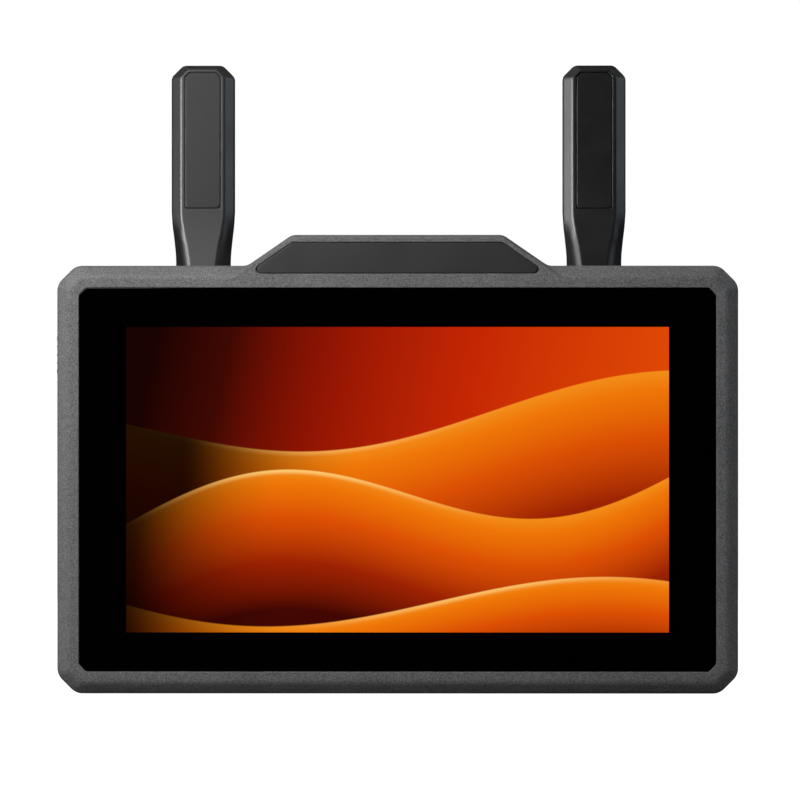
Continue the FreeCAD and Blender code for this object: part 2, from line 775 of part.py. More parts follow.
def heat_sink():
    low = radio_board_bottom + (RADIO_BOARD_HEIGHT - SINK_HEIGHT) / 2
    high = low + SINK_HEIGHT
    fins_front = pad_back + SINK_BASE
    fins_back = min(fins_front + FIN_HEIGHT, fan_front - FAN_ROTOR_GAP - SCREW_HEAD_HEIGHT)
    pieces = [block(-SINK_HALF, SINK_HALF, pad_back, fins_front, low, high)]
    step = (2 * SINK_HALF - FIN_THICKNESS) / (FIN_COUNT - 1)
    for i in range(FIN_COUNT):
        left = -SINK_HALF + i * step
        pieces.append(block(left, left + FIN_THICKNESS, fins_front - FIN_THICKNESS / 2, fins_back, low, high))
    return joined(pieces)


# Fan

def fan_frame():
    half = FAN_SIDE / 2
    frame = slab(centred_rectangle(half, half, fan_z, FAN_HOLE_INSET / 2), fan_front, fan_back)
    frame = frame.cut(rod_back(0, fan_z, FAN_BORE_RADIUS, fan_front - OVERRUN, fan_back + OVERRUN))
    arm_back = fan_front + FAN_ARM_THICKNESS
    hub = rod_back(0, fan_z, FAN_HUB_RADIUS, fan_front, arm_back)
    reach = (FAN_BORE_RADIUS + half) / 2
    arms = []
    for turn in (90, 210, 330):
        arm = block(
            0, reach, fan_front, arm_back,
            fan_z - FAN_ARM_WIDTH / 2, fan_z + FAN_ARM_WIDTH / 2)
        arms.append(arm.rotate(at(0, 0, fan_z), BACK, turn))
    holes = [
        rod_back(x, z, SCREW_HOLE, fan_front - OVERRUN, fan_back + OVERRUN)
        for x, z in fan_hole_places()
    ]
    bearing = rod_back(
        0, fan_z, FAN_SHAFT_RADIUS + FAN_SHAFT_GAP, fan_front - OVERRUN, arm_back + OVERRUN)
    return joined([frame, hub] + arms).cut(holes + [bearing])


def fan_rotor():
    front = fan_front + FAN_ARM_THICKNESS + FAN_ROTOR_GAP
    back = fan_back - FAN_ROTOR_GAP
    tip = FAN_BORE_RADIUS - FAN_TIP_GAP
    hub = rod_back(0, fan_z, FAN_HUB_RADIUS, front, back)
    hub = hub.makeFillet(FAN_ROTOR_GAP, [e for e in hub.Edges if e.BoundBox.YMin > at(0, back, 0).y - FAN_ROTOR_GAP / 2])
    shaft = rod_back(0, fan_z, FAN_SHAFT_RADIUS, fan_front, front + FAN_ROTOR_GAP)
    middle = (front + back) / 2
    reach = (back - front) / math.cos(math.radians(FAN_BLADE_PITCH))
    ring = rod_back(0, fan_z, tip, front, back)
    blades = []
    for i in range(FAN_BLADE_COUNT):
        blade = block(
            FAN_HUB_RADIUS - FAN_ROTOR_GAP, tip + OVERRUN, middle - reach / 2, middle + reach / 2,
            fan_z - FAN_BLADE_THICKNESS / 2, fan_z + FAN_BLADE_THICKNESS / 2)
        blade.rotate(at(0, middle, fan_z), RIGHT, FAN_BLADE_PITCH)
        blade.rotate(at(0, middle, fan_z), BACK, i * 360 / FAN_BLADE_COUNT)
        blades.append(blade.common(ring))
    return joined([hub, shaft] + blades)


def fan_screws():
    screws = []
    for x, z in fan_hole_places():
        head = rod_back(x, z, SCREW_HEAD_RADIUS, fan_front - SCREW_HEAD_HEIGHT, fan_front)
        shank = rod_back(x, z, SCREW_SHANK, fan_front, fan_back + HOUSING_WALL / 2)
        screws.append(joined([head, shank]))
    return group(screws)


# Rear housing

def housing_outside():
    return [
        slab(bezel_outline(SEAM_INSET, SEAM_INSET), BEZEL_DEPTH, BEZEL_DEPTH + SEAM_DEPTH),
        slab(body_outline(0), BEZEL_DEPTH + SEAM_DEPTH, WING_DEPTH - WING_EDGE_DEPTH),
        tapered(body_outline(0), WING_DEPTH - WING_EDGE_DEPTH, body_outline(WING_EDGE), WING_DEPTH),
        slab(hump_outline(0), BEZEL_DEPTH + SEAM_DEPTH, HUMP_DEPTH - HUMP_EDGE_DEPTH),
        tapered(hump_outline(0), HUMP_DEPTH - HUMP_EDGE_DEPTH, hump_outline(HUMP_EDGE), HUMP_DEPTH),
    ]


def housing_lip():
    """The step that fits inside the bezel, and the opening within it."""
    inset = BEZEL_WALL + LIP_GAP
    back = BEZEL_DEPTH + SEAM_DEPTH
    outer = slab(bezel_outline(inset, inset), BEZEL_DEPTH - LIP_HEIGHT, back)
    inset = inset + LIP_THICKNESS
    inner = slab(bezel_outline(inset, inset), BEZEL_DEPTH - LIP_HEIGHT - OVERRUN, back)
    return outer, inner


def ear(x_from, x_to):
    """One ear of an antenna's cradle: flat sides, rounded about the fold axis."""
    root = WING_DEPTH - HOUSING_WALL / 2
    top = body_height - EAR_TOP_DROP
    low_turn, high_turn = math.radians(-50), math.radians(60)
    def on_round(turn):
        return at(x_from, FOLD_DEPTH + EAR_RADIUS * math.cos(turn), fold_z + EAR_RADIUS * math.sin(turn))
    low, high = on_round(low_turn), on_round(high_turn)
    edges = [
        Part.LineSegment(at(x_from, root, ear_low), low).toShape(),
        Part.Arc(low, on_round(0), high).toShape(),
        Part.LineSegment(high, at(x_from, root, top)).toShape(),
        Part.LineSegment(at(x_from, root, top), at(x_from, root, ear_low)).toShape(),
    ]
    return Part.Face(Part.Wire(edges)).extrude(RIGHT * (x_to - x_from))


def ears():
    inner = antenna_x - BARREL_HALF - EAR_GAP
    outer = antenna_x + BARREL_HALF + EAR_GAP
    right = [ear(hump_half - HOUSING_WALL / 2, inner), ear(outer, outer + EAR_THICKNESS)]
    return right + [mirrored(piece) for piece in right]


def hinge_holes():
    outer = antenna_x + BARREL_HALF + EAR_GAP + EAR_THICKNESS
    hole = rod_right(
        FOLD_DEPTH, fold_z, HINGE_PIN_RADIUS, hump_half - HOUSING_WALL - OVERRUN, outer + OVERRUN)
    seat = rod_right(FOLD_DEPTH, fold_z, HINGE_HEAD_RADIUS, outer - HINGE_HEAD_HEIGHT, outer + OVERRUN)
    return [hole, seat, mirrored(hole), mirrored(seat)]


def post_back(x):
    """Depth of the housing's outside behind a screw post at x."""
    return HUMP_DEPTH if abs(x) < hump_half else WING_DEPTH


def screw_seat():
    return BEZEL_DEPTH + SCREW_FLOOR


def screw_posts():
    return [rod_back(x, z, POST_RADIUS, BEZEL_DEPTH, wing_inner) for x, z in housing_screw_places()]


def screw_wells():
    wells = []
    for x, z in housing_screw_places():
        wells.append(rod_back(x, z, SCREW_HOLE, BEZEL_DEPTH - OVERRUN, WING_DEPTH))
        wells.append(rod_back(
            x, z, SCREW_HEAD_RADIUS + HEAD_GAP, screw_seat(), post_back(x) + OVERRUN))
    return wells


def socket_bosses():
    """Solid round the tripod inserts and the locating holes beside them."""
    reach = SOCKET_LENGTH + SOCKET_CAP
    pin_reach = PIN_HOLE_LENGTH + SOCKET_CAP
    half = PIN_HOLE_SPACING / 2
    pieces = []
    for low, high, pin_low, pin_high in (
            (0, reach, 0, pin_reach), (brow_top - reach, brow_top, brow_top - pin_reach, brow_top)):
        pieces.append(rod_up(0, SOCKET_DEPTH, SOCKET_BOSS_RADIUS, low, high))
        for x in (-half, half):
            pieces.append(rod_up(x, SOCKET_DEPTH, PIN_BOSS_RADIUS, pin_low, pin_high))
    return pieces


def socket_holes():
    half = PIN_HOLE_SPACING / 2
    holes = []
    for mouth, way in ((0, 1), (brow_top, -1)):
        for x, radius, start, end in (
                (0, INSERT_RADIUS, -OVERRUN, SOCKET_LENGTH),
                (0, INSERT_FLANGE_RADIUS, -OVERRUN, INSERT_FLANGE),
                (-half, PIN_HOLE_RADIUS, -OVERRUN, PIN_HOLE_LENGTH),
                (half, PIN_HOLE_RADIUS, -OVERRUN, PIN_HOLE_LENGTH)):
            z_from, z_to = sorted((mouth + way * start, mouth + way * end))
            holes.append(rod_up(x, SOCKET_DEPTH, radius, z_from, z_to))
    return holes


def port_hole(side, depth_from, depth_to, z, width):
    return block(
        side * (side_inner - OVERRUN), side * (body_half + OVERRUN),
        depth_from - PORT_GAP, depth_to + PORT_GAP,
        z - width / 2 - PORT_GAP, z + width / 2 + PORT_GAP)


def round_port_hole(depth, z, radius):
    return rod_right(depth, z, radius + PORT_GAP, -body_half - OVERRUN, -side_inner + OVERRUN)


def jack_depth():
    return board_back + JACK_THICKNESS / 2


def dc_depth():
    return wing_inner - HEAD_GAP / 2 - DC_THICKNESS / 2


def dc_room():
    """Space in the housing's step for the DC jack, which is taller than the others."""
    half = DC_WIDTH / 2 + PORT_GAP
    return block(
        -side_inner, -side_inner + DC_LENGTH, BEZEL_DEPTH - LIP_HEIGHT - OVERRUN, dc_depth(),
        dc_z - half, dc_z + half)


def port_holes():
    hdmi_back = board_back + HDMI_THICKNESS
    usb_back = board_back + USB_THICKNESS
    return [
        dc_room(),
        port_hole(1, board_back, hdmi_back, hdmi_in_z, HDMI_WIDTH),
        port_hole(1, board_back, hdmi_back, hdmi_out_z, HDMI_WIDTH),
        port_hole(-1, board_back, usb_back, usb_z, USB_WIDTH),
        round_port_hole(jack_depth(), jack_z, JACK_RADIUS + PORT_GAP),
        round_port_hole(dc_depth(), dc_z, DC_RADIUS),
    ]


def knob_slot():
    half = KNOB_HALF_DEPTH + KNOB_GAP
    return block(
        -body_half - OVERRUN, -side_inner + OVERRUN, SWITCH_DEPTH - half, SWITCH_DEPTH + half,
        knob_low - KNOB_GAP, knob_low + KNOB_HEIGHT + KNOB_TRAVEL + KNOB_GAP)


def round_ended_slot(x, z_from, z_to, width, depth_from, depth_to):
    half = width / 2
    return joined([
        block(x - half, x + half, depth_from, depth_to, z_from + half, z_to - half),
        rod_back(x, z_from + half, half, depth_from, depth_to),
        rod_back(x, z_to - half, half, depth_from, depth_to),
    ])


def grille_slots():
    slots = []
    for i in range(GRILLE_COUNT):
        x = (i - (GRILLE_COUNT - 1) / 2) * GRILLE_PITCH
        reach = math.sqrt(GRILLE_RADIUS ** 2 - x ** 2)
        slots.append(round_ended_slot(
            x, fan_z - reach, fan_z + reach, GRILLE_SLOT,
            hump_inner - OVERRUN, HUMP_DEPTH + OVERRUN))
    return slots


def vent_slots():
    slots = []
    for i in range(VENT_COUNT):
        z = body_middle - VENT_DROP + i * VENT_PITCH
        slot = block(
            hump_half - HOUSING_WALL - OVERRUN, hump_half + OVERRUN, VENT_DEPTH_FROM, VENT_DEPTH_TO,
            z - VENT_SLOT / 2, z + VENT_SLOT / 2)
        slots += [slot, mirrored(slot)]
    return slots


def latch_flange_box(extra, depth_from, depth_to):
    half = LATCH_HALF + LATCH_FLANGE_EXTRA + extra
    tall = LATCH_HEIGHT / 2 + LATCH_FLANGE_EXTRA + extra
    return block(-half, half, depth_from, depth_to, latch_middle - tall, latch_middle + tall)


def latch_seat():
    """Depth of the floor that the latch's spring stands on."""
    return HUMP_DEPTH - LATCH_FLANGE - SPRING_LENGTH


def latch_box():
    return latch_flange_box(
        LATCH_GAP + LATCH_BOX_WALL, latch_seat() - LATCH_BOX_WALL, hump_inner + HOUSING_WALL / 2)


def latch_pocket():
    return latch_flange_box(LATCH_GAP, latch_seat(), HUMP_DEPTH + OVERRUN)


def contact_hole():
    half = CONTACT_STEM_HALF + LATCH_GAP
    low = BATTERY_PLATE_LOW + CONTACT_LOW
    return block(
        -half, half, hump_inner - OVERRUN, HUMP_DEPTH + OVERRUN,
        low - LATCH_GAP, low + CONTACT_HEIGHT + LATCH_GAP)


def rear_housing():
    lip_outer, lip_inner = housing_lip()
    shell = joined(housing_outside() + [lip_outer])
    shell = shell.cut([
        lip_inner,
        slab(body_outline(HOUSING_WALL), BEZEL_DEPTH + SEAM_DEPTH, wing_inner),
        slab(hump_outline(HOUSING_WALL), BEZEL_DEPTH + SEAM_DEPTH, hump_inner),
    ])
    inside = slab(hump_outline(0), BEZEL_DEPTH + SEAM_DEPTH, HUMP_DEPTH - HUMP_EDGE_DEPTH)
    bosses = joined(socket_bosses()).common(inside)
    shell = joined([shell, bosses, latch_box()] + ears() + screw_posts())
    pilots = [
        rod_back(x, z, SCREW_PILOT, hump_inner - OVERRUN, HUMP_DEPTH + OVERRUN)
        for x, z in battery_screw_places()
    ]
    pilots += [
        rod_back(x, z, SCREW_PILOT, hump_inner - OVERRUN, hump_inner + HOUSING_WALL * 0.7)
        for x, z in fan_hole_places()
    ]
    return shell.cut(
        screw_wells() + socket_holes() + port_holes() + [knob_slot()] + grille_slots()
        + vent_slots() + [latch_pocket(), contact_hole()] + hinge_holes() + pilots)


def housing_screws():
    return group(
        screw(x, z, screw_seat(), BEZEL_DEPTH - SCREW_BITE) for x, z in housing_screw_places())


def tripod_insert(mouth, way):
    """A threaded insert; way is +1 where it goes up from its mouth and -1 where it goes down."""
    def ring(radius, start, end):
        z_from, z_to = sorted((mouth + way * start, mouth + way * end))
        return rod_up(0, SOCKET_DEPTH, radius, z_from, z_to)
    body = joined([ring(INSERT_RADIUS, 0, SOCKET_LENGTH), ring(INSERT_FLANGE_RADIUS, 0, INSERT_FLANGE)])
    return body.cut(ring(SOCKET_RADIUS, -OVERRUN, SOCKET_LENGTH + OVERRUN))


# Ports

def hdmi_profile(x, z, gap):
    """The socket's five-sided mouth with two cut corners towards the board."""
    half, cut = HDMI_WIDTH / 2 - gap, HDMI_CHAMFER
    near, far = board_back + gap, board_back + HDMI_THICKNESS - gap
    points = [
        at(x, near, z - half + cut), at(x, near, z + half - cut), at(x, near + cut, z + half),
        at(x, far, z + half), at(x, far, z - half), at(x, near + cut, z - half),
    ]
    return Part.Face(closed_wire(points, [0] * len(points)))


def hdmi_socket(z):
    back = body_half - PORT_SETBACK - HDMI_LENGTH
    shell = hdmi_profile(back, z, 0).extrude(RIGHT * HDMI_LENGTH)
    hollow = hdmi_profile(back + HDMI_SHELL, z, HDMI_SHELL).extrude(RIGHT * HDMI_LENGTH)
    middle = board_back + HDMI_THICKNESS / 2
    tongue = block(
        back, back + HDMI_LENGTH - HDMI_SHELL * 2, middle - HDMI_TONGUE / 2, middle + HDMI_TONGUE / 2,
        z - HDMI_WIDTH / 2 + HDMI_CHAMFER, z + HDMI_WIDTH / 2 - HDMI_CHAMFER)
    return joined([shell.cut(hollow), tongue])


def usb_c_socket():
    mouth = -body_half + PORT_SETBACK
    middle = board_back + USB_THICKNESS / 2

    def capsule(x_from, x_to, gap):
        radius = USB_THICKNESS / 2 - gap
        half = USB_WIDTH / 2 - gap - radius
        return joined([
            block(x_from, x_to, middle - radius, middle + radius, usb_z - half, usb_z + half),
            rod_right(middle, usb_z - half, radius, x_from, x_to),
            rod_right(middle, usb_z + half, radius, x_from, x_to),
        ])
    shell = capsule(mouth, mouth + USB_LENGTH, 0)
    hollow = capsule(mouth - OVERRUN, mouth + USB_LENGTH - USB_SHELL * 2, USB_SHELL)
    tongue = block(
        mouth + USB_SHELL, mouth + USB_LENGTH - USB_SHELL, middle - USB_TONGUE / 2,
        middle + USB_TONGUE / 2, usb_z - USB_WIDTH / 4, usb_z + USB_WIDTH / 4)
    return joined([shell.cut(hollow), tongue])


def headphone_jack():
    mouth = -body_half + PORT_SETBACK
    depth = jack_depth()
    body = block(
        -side_inner + PORT_GAP, -side_inner + JACK_LENGTH, board_back, board_back + JACK_THICKNESS,
        jack_z - JACK_WIDTH / 2, jack_z + JACK_WIDTH / 2)
    collar = rod_right(depth, jack_z, JACK_RADIUS + PORT_GAP, mouth, -side_inner + PORT_GAP)
    bore = rod_right(depth, jack_z, JACK_RADIUS, mouth - OVERRUN, -side_inner + JACK_LENGTH + OVERRUN)
    return joined([body, collar]).cut(bore)


def dc_in_jack():
    depth = dc_depth()
    mouth = -side_inner + PORT_GAP
    body = block(
        mouth, mouth + DC_LENGTH, depth - DC_THICKNESS / 2, depth + DC_THICKNESS / 2,
        dc_z - DC_WIDTH / 2, dc_z + DC_WIDTH / 2)
    board_cut = block(
        -board_side - OVERRUN, mouth + DC_LENGTH + OVERRUN, board_front - OVERRUN, board_back,
        dc_z - DC_WIDTH, dc_z + DC_WIDTH)
    bore = rod_right(depth, dc_z, DC_RADIUS, mouth - OVERRUN, mouth + DC_BORE_LENGTH)
    pin = rod_right(depth, dc_z, DC_PIN_RADIUS, mouth + PORT_SETBACK, mouth + DC_BORE_LENGTH + OVERRUN)
    return joined([body.cut([bore, board_cut]), pin.cut(board_cut)])


# Slide switch

def power_slider():
    face = -body_half
    z_from, z_to = knob_low, knob_low + KNOB_HEIGHT
    depth_from, depth_to = SWITCH_DEPTH - KNOB_HALF_DEPTH, SWITCH_DEPTH + KNOB_HALF_DEPTH
    flange_out = -side_inner + KNOB_FLANGE_GAP
    flange_in = flange_out + KNOB_FLANGE
    pieces = [
        block(face - KNOB_BASE_PROUD, flange_in, depth_from, depth_to, z_from, z_to),
        block(flange_out, flange_in, depth_from - KNOB_FLANGE_EXTRA / 2, depth_to + KNOB_FLANGE_EXTRA / 2,
              z_from - KNOB_FLANGE_EXTRA, z_to + KNOB_FLANGE_EXTRA),
        block(flange_in - KNOB_GAP, flange_in + STEM_LENGTH, switch_middle() - STEM_HALF,
              switch_middle() + STEM_HALF, knob_middle() - STEM_HALF, knob_middle() + STEM_HALF),
        block(face - KNOB_PROUD, face, depth_from, depth_to, z_from, z_from + KNOB_END),
        block(face - KNOB_PROUD, face, depth_from, depth_to, z_to - KNOB_END, z_to),
    ]
    step = (KNOB_HEIGHT - KNOB_END) / (KNOB_RIB_COUNT + 1)
    for i in range(KNOB_RIB_COUNT):
        rib = z_from + KNOB_END / 2 + (i + 1) * step
        pieces.append(block(
            face - KNOB_PROUD, face, depth_from, depth_to, rib - KNOB_RIB / 2, rib + KNOB_RIB / 2))
    return joined(pieces)


def knob_middle():
    return knob_low + KNOB_HEIGHT / 2


def switch_middle():
    return board_back + SWITCH_BODY_THICKNESS / 2


def switch_body():
    left = -side_inner + KNOB_FLANGE_GAP + KNOB_FLANGE + KNOB_GAP
    low = knob_middle() - STEM_HALF - SWITCH_BODY_MARGIN
    high = knob_middle() + STEM_HALF + KNOB_TRAVEL + SWITCH_BODY_MARGIN
    body = block(left, left + SWITCH_BODY_LENGTH, board_back, board_back + SWITCH_BODY_THICKNESS, low, high)
    half = STEM_HALF + KNOB_GAP
    slot = block(
        left - OVERRUN, left + STEM_LENGTH + KNOB_GAP, switch_middle() - half, switch_middle() + half,
        knob_middle() - half, knob_middle() + half + KNOB_TRAVEL)
    return body.cut(slot)


# Battery plate

def battery_plate():
    half = BATTERY_HALF + RAIL_THICKNESS
    middle = (BATTERY_PLATE_LOW + battery_plate_top) / 2
    base = slab(
        centred_rectangle(half, battery_plate_height / 2, middle, BATTERY_RADIUS),
        HUMP_DEPTH, battery_base_back)
    rail_back = battery_base_back + RAIL_HEIGHT
    pieces = [base]
    for side in (-1, 1):
        pieces.append(block(
            side * BATTERY_HALF, side * half, battery_base_back - BATTERY_BASE / 2, rail_back,
            BATTERY_PLATE_LOW + BATTERY_RADIUS, battery_plate_top - BATTERY_RADIUS))
        for low in (BATTERY_PLATE_LOW + RAIL_LIP_LOW,
                    battery_plate_top - RAIL_LIP_HIGH - RAIL_LIP_LENGTH):
            pieces.append(block(
                side * (BATTERY_HALF - LIP_REACH), side * (BATTERY_HALF + RAIL_THICKNESS / 2),
                rail_back - RAIL_LIP, rail_back, low, low + RAIL_LIP_LENGTH))
    window_half, window_tall = LATCH_HALF + LATCH_GAP, LATCH_HEIGHT / 2 + LATCH_GAP
    cuts = [
        block(-window_half, window_half, HUMP_DEPTH - OVERRUN, battery_base_back + OVERRUN,
              latch_middle - window_tall, latch_middle + window_tall),
        block(-CONTACT_STEM_HALF - LATCH_GAP, CONTACT_STEM_HALF + LATCH_GAP,
              HUMP_DEPTH - OVERRUN, battery_base_back + OVERRUN,
              BATTERY_PLATE_LOW + CONTACT_LOW - LATCH_GAP,
              BATTERY_PLATE_LOW + CONTACT_LOW + CONTACT_HEIGHT + LATCH_GAP),
    ]
    for x, z in battery_screw_places():
        cuts.append(rod_back(x, z, SCREW_HOLE, HUMP_DEPTH - OVERRUN, battery_base_back + OVERRUN))
        cuts.append(rod_back(
            x, z, SCREW_HEAD_RADIUS + HEAD_GAP / 2, battery_base_back - SCREW_HEAD_HEIGHT,
            battery_base_back + OVERRUN))
    return joined(pieces).cut(cuts)


def battery_screws():
    seat = battery_base_back - SCREW_HEAD_HEIGHT
    return group(screw(x, z, seat, hump_inner) for x, z in battery_screw_places())


def battery_contacts():
    low = BATTERY_PLATE_LOW + CONTACT_LOW
    high = low + CONTACT_HEIGHT
    back = battery_base_back + CONTACT_THICKNESS
    stem_front = HUMP_DEPTH - CONTACT_STEM_LENGTH
    pieces = [
        block(-CONTACT_HALF, CONTACT_HALF, battery_base_back, back, low, high),
        block(-CONTACT_STEM_HALF, CONTACT_STEM_HALF, stem_front, back, low, high),
    ]
    middle = battery_base_back + CONTACT_THICKNESS / 2
    for i in (-1, 0, 1):
        x = i * BLADE_SPACING
        pieces.append(block(
            x - BLADE_THICKNESS / 2, x + BLADE_THICKNESS / 2, middle - BLADE_HEIGHT / 2,
            middle + BLADE_HEIGHT / 2, high - BLADE_THICKNESS, high + BLADE_LENGTH))
    return joined(pieces)


def battery_latch():
    low, high = latch_middle - LATCH_HEIGHT / 2, latch_top
    front = HUMP_DEPTH - LATCH_FLANGE
    back = battery_base_back + LATCH_PROUD
    points = [
        at(-LATCH_HALF, front, low), at(-LATCH_HALF, front, high),
        at(-LATCH_HALF, battery_base_back, high), at(-LATCH_HALF, back, low + LATCH_HEIGHT / 3),
        at(-LATCH_HALF, back, low),
    ]
    wedge = Part.Face(closed_wire(points, [0] * len(points))).extrude(RIGHT * (2 * LATCH_HALF))
    flange = latch_flange_box(0, front, HUMP_DEPTH)
    return joined([wedge, flange])


def latch_spring():
    """A coil spring between the latch and its seat, wound about the way the latch moves."""
    length = SPRING_LENGTH - 2 * SPRING_WIRE
    coil = SPRING_RADIUS - SPRING_WIRE
    helix = Part.makeHelix(length / SPRING_TURNS, length, coil)
    section = Part.Wire(Part.makeCircle(SPRING_WIRE, FreeCAD.Vector(coil, 0, 0), BACK))
    spring = Part.Wire(helix).makePipeShell([section], True, True)
    spring.rotate(FreeCAD.Vector(0, 0, 0), RIGHT, -90)
    spring.translate(at(0, latch_seat() + SPRING_WIRE, latch_middle))
    return spring


# Antennas, built on the right-hand side and moved to either side

def antenna_right(half, low, top, cut, radius):
    """Right half of an antenna outline whose upper corners are cut off."""
    return [
        (antenna_x + half, low, 0),
        (antenna_x + half, top - cut, radius),
        (antenna_x + half - cut, top, radius),
    ]


def antenna_outline(half, low, top, cut, radius):
    right = antenna_right(half, low, top, cut, radius)
    return right + [(2 * antenna_x - x, z, r) for x, z, r in reversed(right)]


def blade():
    """The flat upper part, bevelled all round towards its front and back facets."""
    facet = antenna_outline(
        FACET_HALF, shoulder_z, antenna_top - FACET_TOP_GAP, FACET_CUT, FACET_RADIUS)
    edge = antenna_outline(
        ANTENNA_HALF, shoulder_z, antenna_top, ANTENNA_CUT, ANTENNA_RADIUS)
    near, far = facet_depth + FACET_BEVEL_DEPTH, FOLD_DEPTH + ANTENNA_HALF_DEPTH - FACET_BEVEL_DEPTH
    return [
        tapered(facet, facet_depth, edge, near),
        slab(edge, near, far),
        tapered(edge, far, facet, FOLD_DEPTH + ANTENNA_HALF_DEPTH),
    ]


def neck_section(z, half, half_depth, facet, side, bulge):
    """Eight-cornered section of the neck; the four corner edges bow out by bulge."""
    def place(x, depth):
        return at(antenna_x + x, FOLD_DEPTH + depth, z)
    corners = [
        (-facet, -half_depth), (facet, -half_depth), (half, -side), (half, side),
        (facet, half_depth), (-facet, half_depth), (-half, side), (-half, -side),
    ]
    edges = []
    for i, (start, end) in enumerate(zip(corners, corners[1:] + corners[:1])):
        first, last = place(*start), place(*end)
        if i % 2 and bulge > 0:
            middle = ((start[0] + end[0]) / 2, (start[1] + end[1]) / 2)
            away = math.hypot(*middle)
            chord = math.hypot(start[0] - end[0], start[1] - end[1])
            grow = 1 + bulge * chord / away
            edges.append(Part.Arc(first, place(middle[0] * grow, middle[1] * grow), last).toShape())
        else:
            edges.append(Part.LineSegment(first, last).toShape())
    return Part.Wire(edges)


def neck():
    foot = swivel_z + SWIVEL_GAP
    side_half = ANTENNA_HALF_DEPTH - FACET_BEVEL_DEPTH
    sections = []
    shares = zip(NECK_HEIGHT_SHARES, NECK_HALF_SHARES, NECK_DEPTH_SHARES, NECK_FACET_SHARES,
                 NECK_SIDE_SHARES, NECK_BULGE_SHARES)
    for height, half, depth, facet, side, bulge in shares:
        sections.append(neck_section(
            shoulder_z + (foot - shoulder_z) * height, ANTENNA_HALF * half,
            ANTENNA_HALF_DEPTH * depth, FACET_HALF * facet, side_half * side, bulge))
    return Part.makeLoft(sections, True, False)


def whole_antenna():
    shaft = rod_up(
        antenna_x, FOLD_DEPTH, SWIVEL_RADIUS - RUNNING_GAP, swivel_z - SWIVEL_LENGTH,
        swivel_z + SWIVEL_GAP + OVERRUN)
    return joined(blade() + [neck(), shaft])


def radiator_room():
    gap = SWIVEL_GAP
    half_depth = ANTENNA_HALF_DEPTH - PANEL_THICKNESS - ANTENNA_WALL
    return block(
        antenna_x - RADIATOR_HALF - gap, antenna_x + RADIATOR_HALF + gap,
        FOLD_DEPTH - RADIATOR_THICKNESS / 2, FOLD_DEPTH + half_depth,
        radiator_low - gap, radiator_low + RADIATOR_HEIGHT + gap)


def back_half(seam):
    """The space of the antenna's back cover, whose lower edge is raised by seam."""
    wide = 2 * ANTENNA_HALF
    return block(
        antenna_x - wide, antenna_x + wide, FOLD_DEPTH + BACK_SPLIT,
        FOLD_DEPTH + wide, back_low + seam, antenna_top + OVERRUN)


def feed_bore(radius):
    return rod_up(
        antenna_x, FOLD_DEPTH, radius, swivel_z - SWIVEL_LENGTH - OVERRUN,
        radiator_low + OVERRUN)


def panel_outline(grow):
    top = antenna_top - FACET_TOP_GAP - PANEL_TOP_GAP
    right = [
        (antenna_x + PANEL_HALF + grow, panel_low - grow, PANEL_RADIUS),
        (antenna_x + PANEL_HALF + grow, top + grow - PANEL_CUT, PANEL_RADIUS / 2),
        (antenna_x + PANEL_HALF + grow - PANEL_CUT, top + grow, PANEL_RADIUS / 2),
    ]
    return right + [(2 * antenna_x - x, z, r) for x, z, r in reversed(right)]


def antenna_shell():
    shell = whole_antenna().cut([
        radiator_room(),
        back_half(0),
        feed_bore(HINGE_PIN_BORE),
        slab(panel_outline(PANEL_GROOVE), facet_depth - OVERRUN, facet_depth + PANEL_THICKNESS),
    ])
    return shell


def antenna_back():
    return whole_antenna().cut(radiator_room()).common(back_half(BACK_SEAM))


def antenna_panel():
    return slab(panel_outline(0), facet_depth, facet_depth + PANEL_THICKNESS)


def antenna_radiator():
    strip = block(
        antenna_x - RADIATOR_HALF, antenna_x + RADIATOR_HALF, FOLD_DEPTH - RADIATOR_THICKNESS / 2,
        FOLD_DEPTH + RADIATOR_THICKNESS / 2, radiator_low, radiator_low + RADIATOR_HEIGHT)
    feed = rod_up(
        antenna_x, FOLD_DEPTH, COAX_RADIUS, swivel_z - SWIVEL_LENGTH, radiator_low + OVERRUN)
    return joined([strip, feed])


def antenna_knuckle():
    barrel = rod_right(
        FOLD_DEPTH, fold_z, BARREL_RADIUS, antenna_x - BARREL_HALF, antenna_x + BARREL_HALF)
    collar = rod_up(antenna_x, FOLD_DEPTH, COLLAR_RADIUS, fold_z, swivel_z)
    bore = rod_right(
        FOLD_DEPTH, fold_z, HINGE_PIN_RADIUS + RUNNING_GAP,
        antenna_x - BARREL_HALF - OVERRUN, antenna_x + BARREL_HALF + OVERRUN)
    seat = rod_up(
        antenna_x, FOLD_DEPTH, SWIVEL_RADIUS, swivel_z - SWIVEL_LENGTH - SWIVEL_GAP,
        swivel_z + OVERRUN)
    feed = rod_up(antenna_x, FOLD_DEPTH, HINGE_PIN_BORE, fold_z, swivel_z)
    return joined([barrel, collar]).cut([bore, seat, feed])


def hinge_pin():
    outer = antenna_x + BARREL_HALF + EAR_GAP + EAR_THICKNESS
    inner = hump_half - HOUSING_WALL
    head_from = outer - HINGE_HEAD_HEIGHT
    pin = joined([
        rod_right(FOLD_DEPTH, fold_z, HINGE_PIN_RADIUS, inner, outer),
        rod_right(FOLD_DEPTH, fold_z, HINGE_HEAD_RADIUS, head_from, outer),
    ])
    slot = block(
        outer - HINGE_HEAD_HEIGHT / 2, outer + OVERRUN, FOLD_DEPTH - HINGE_HEAD_HEIGHT / 3,
        FOLD_DEPTH + HINGE_HEAD_HEIGHT / 3, fold_z - 2 * HINGE_HEAD_RADIUS, fold_z + 2 * HINGE_HEAD_RADIUS)
    bore = rod_right(FOLD_DEPTH, fold_z, HINGE_PIN_BORE, inner - OVERRUN, antenna_x)
    return pin.cut([slot, bore])


# Leads and flexes

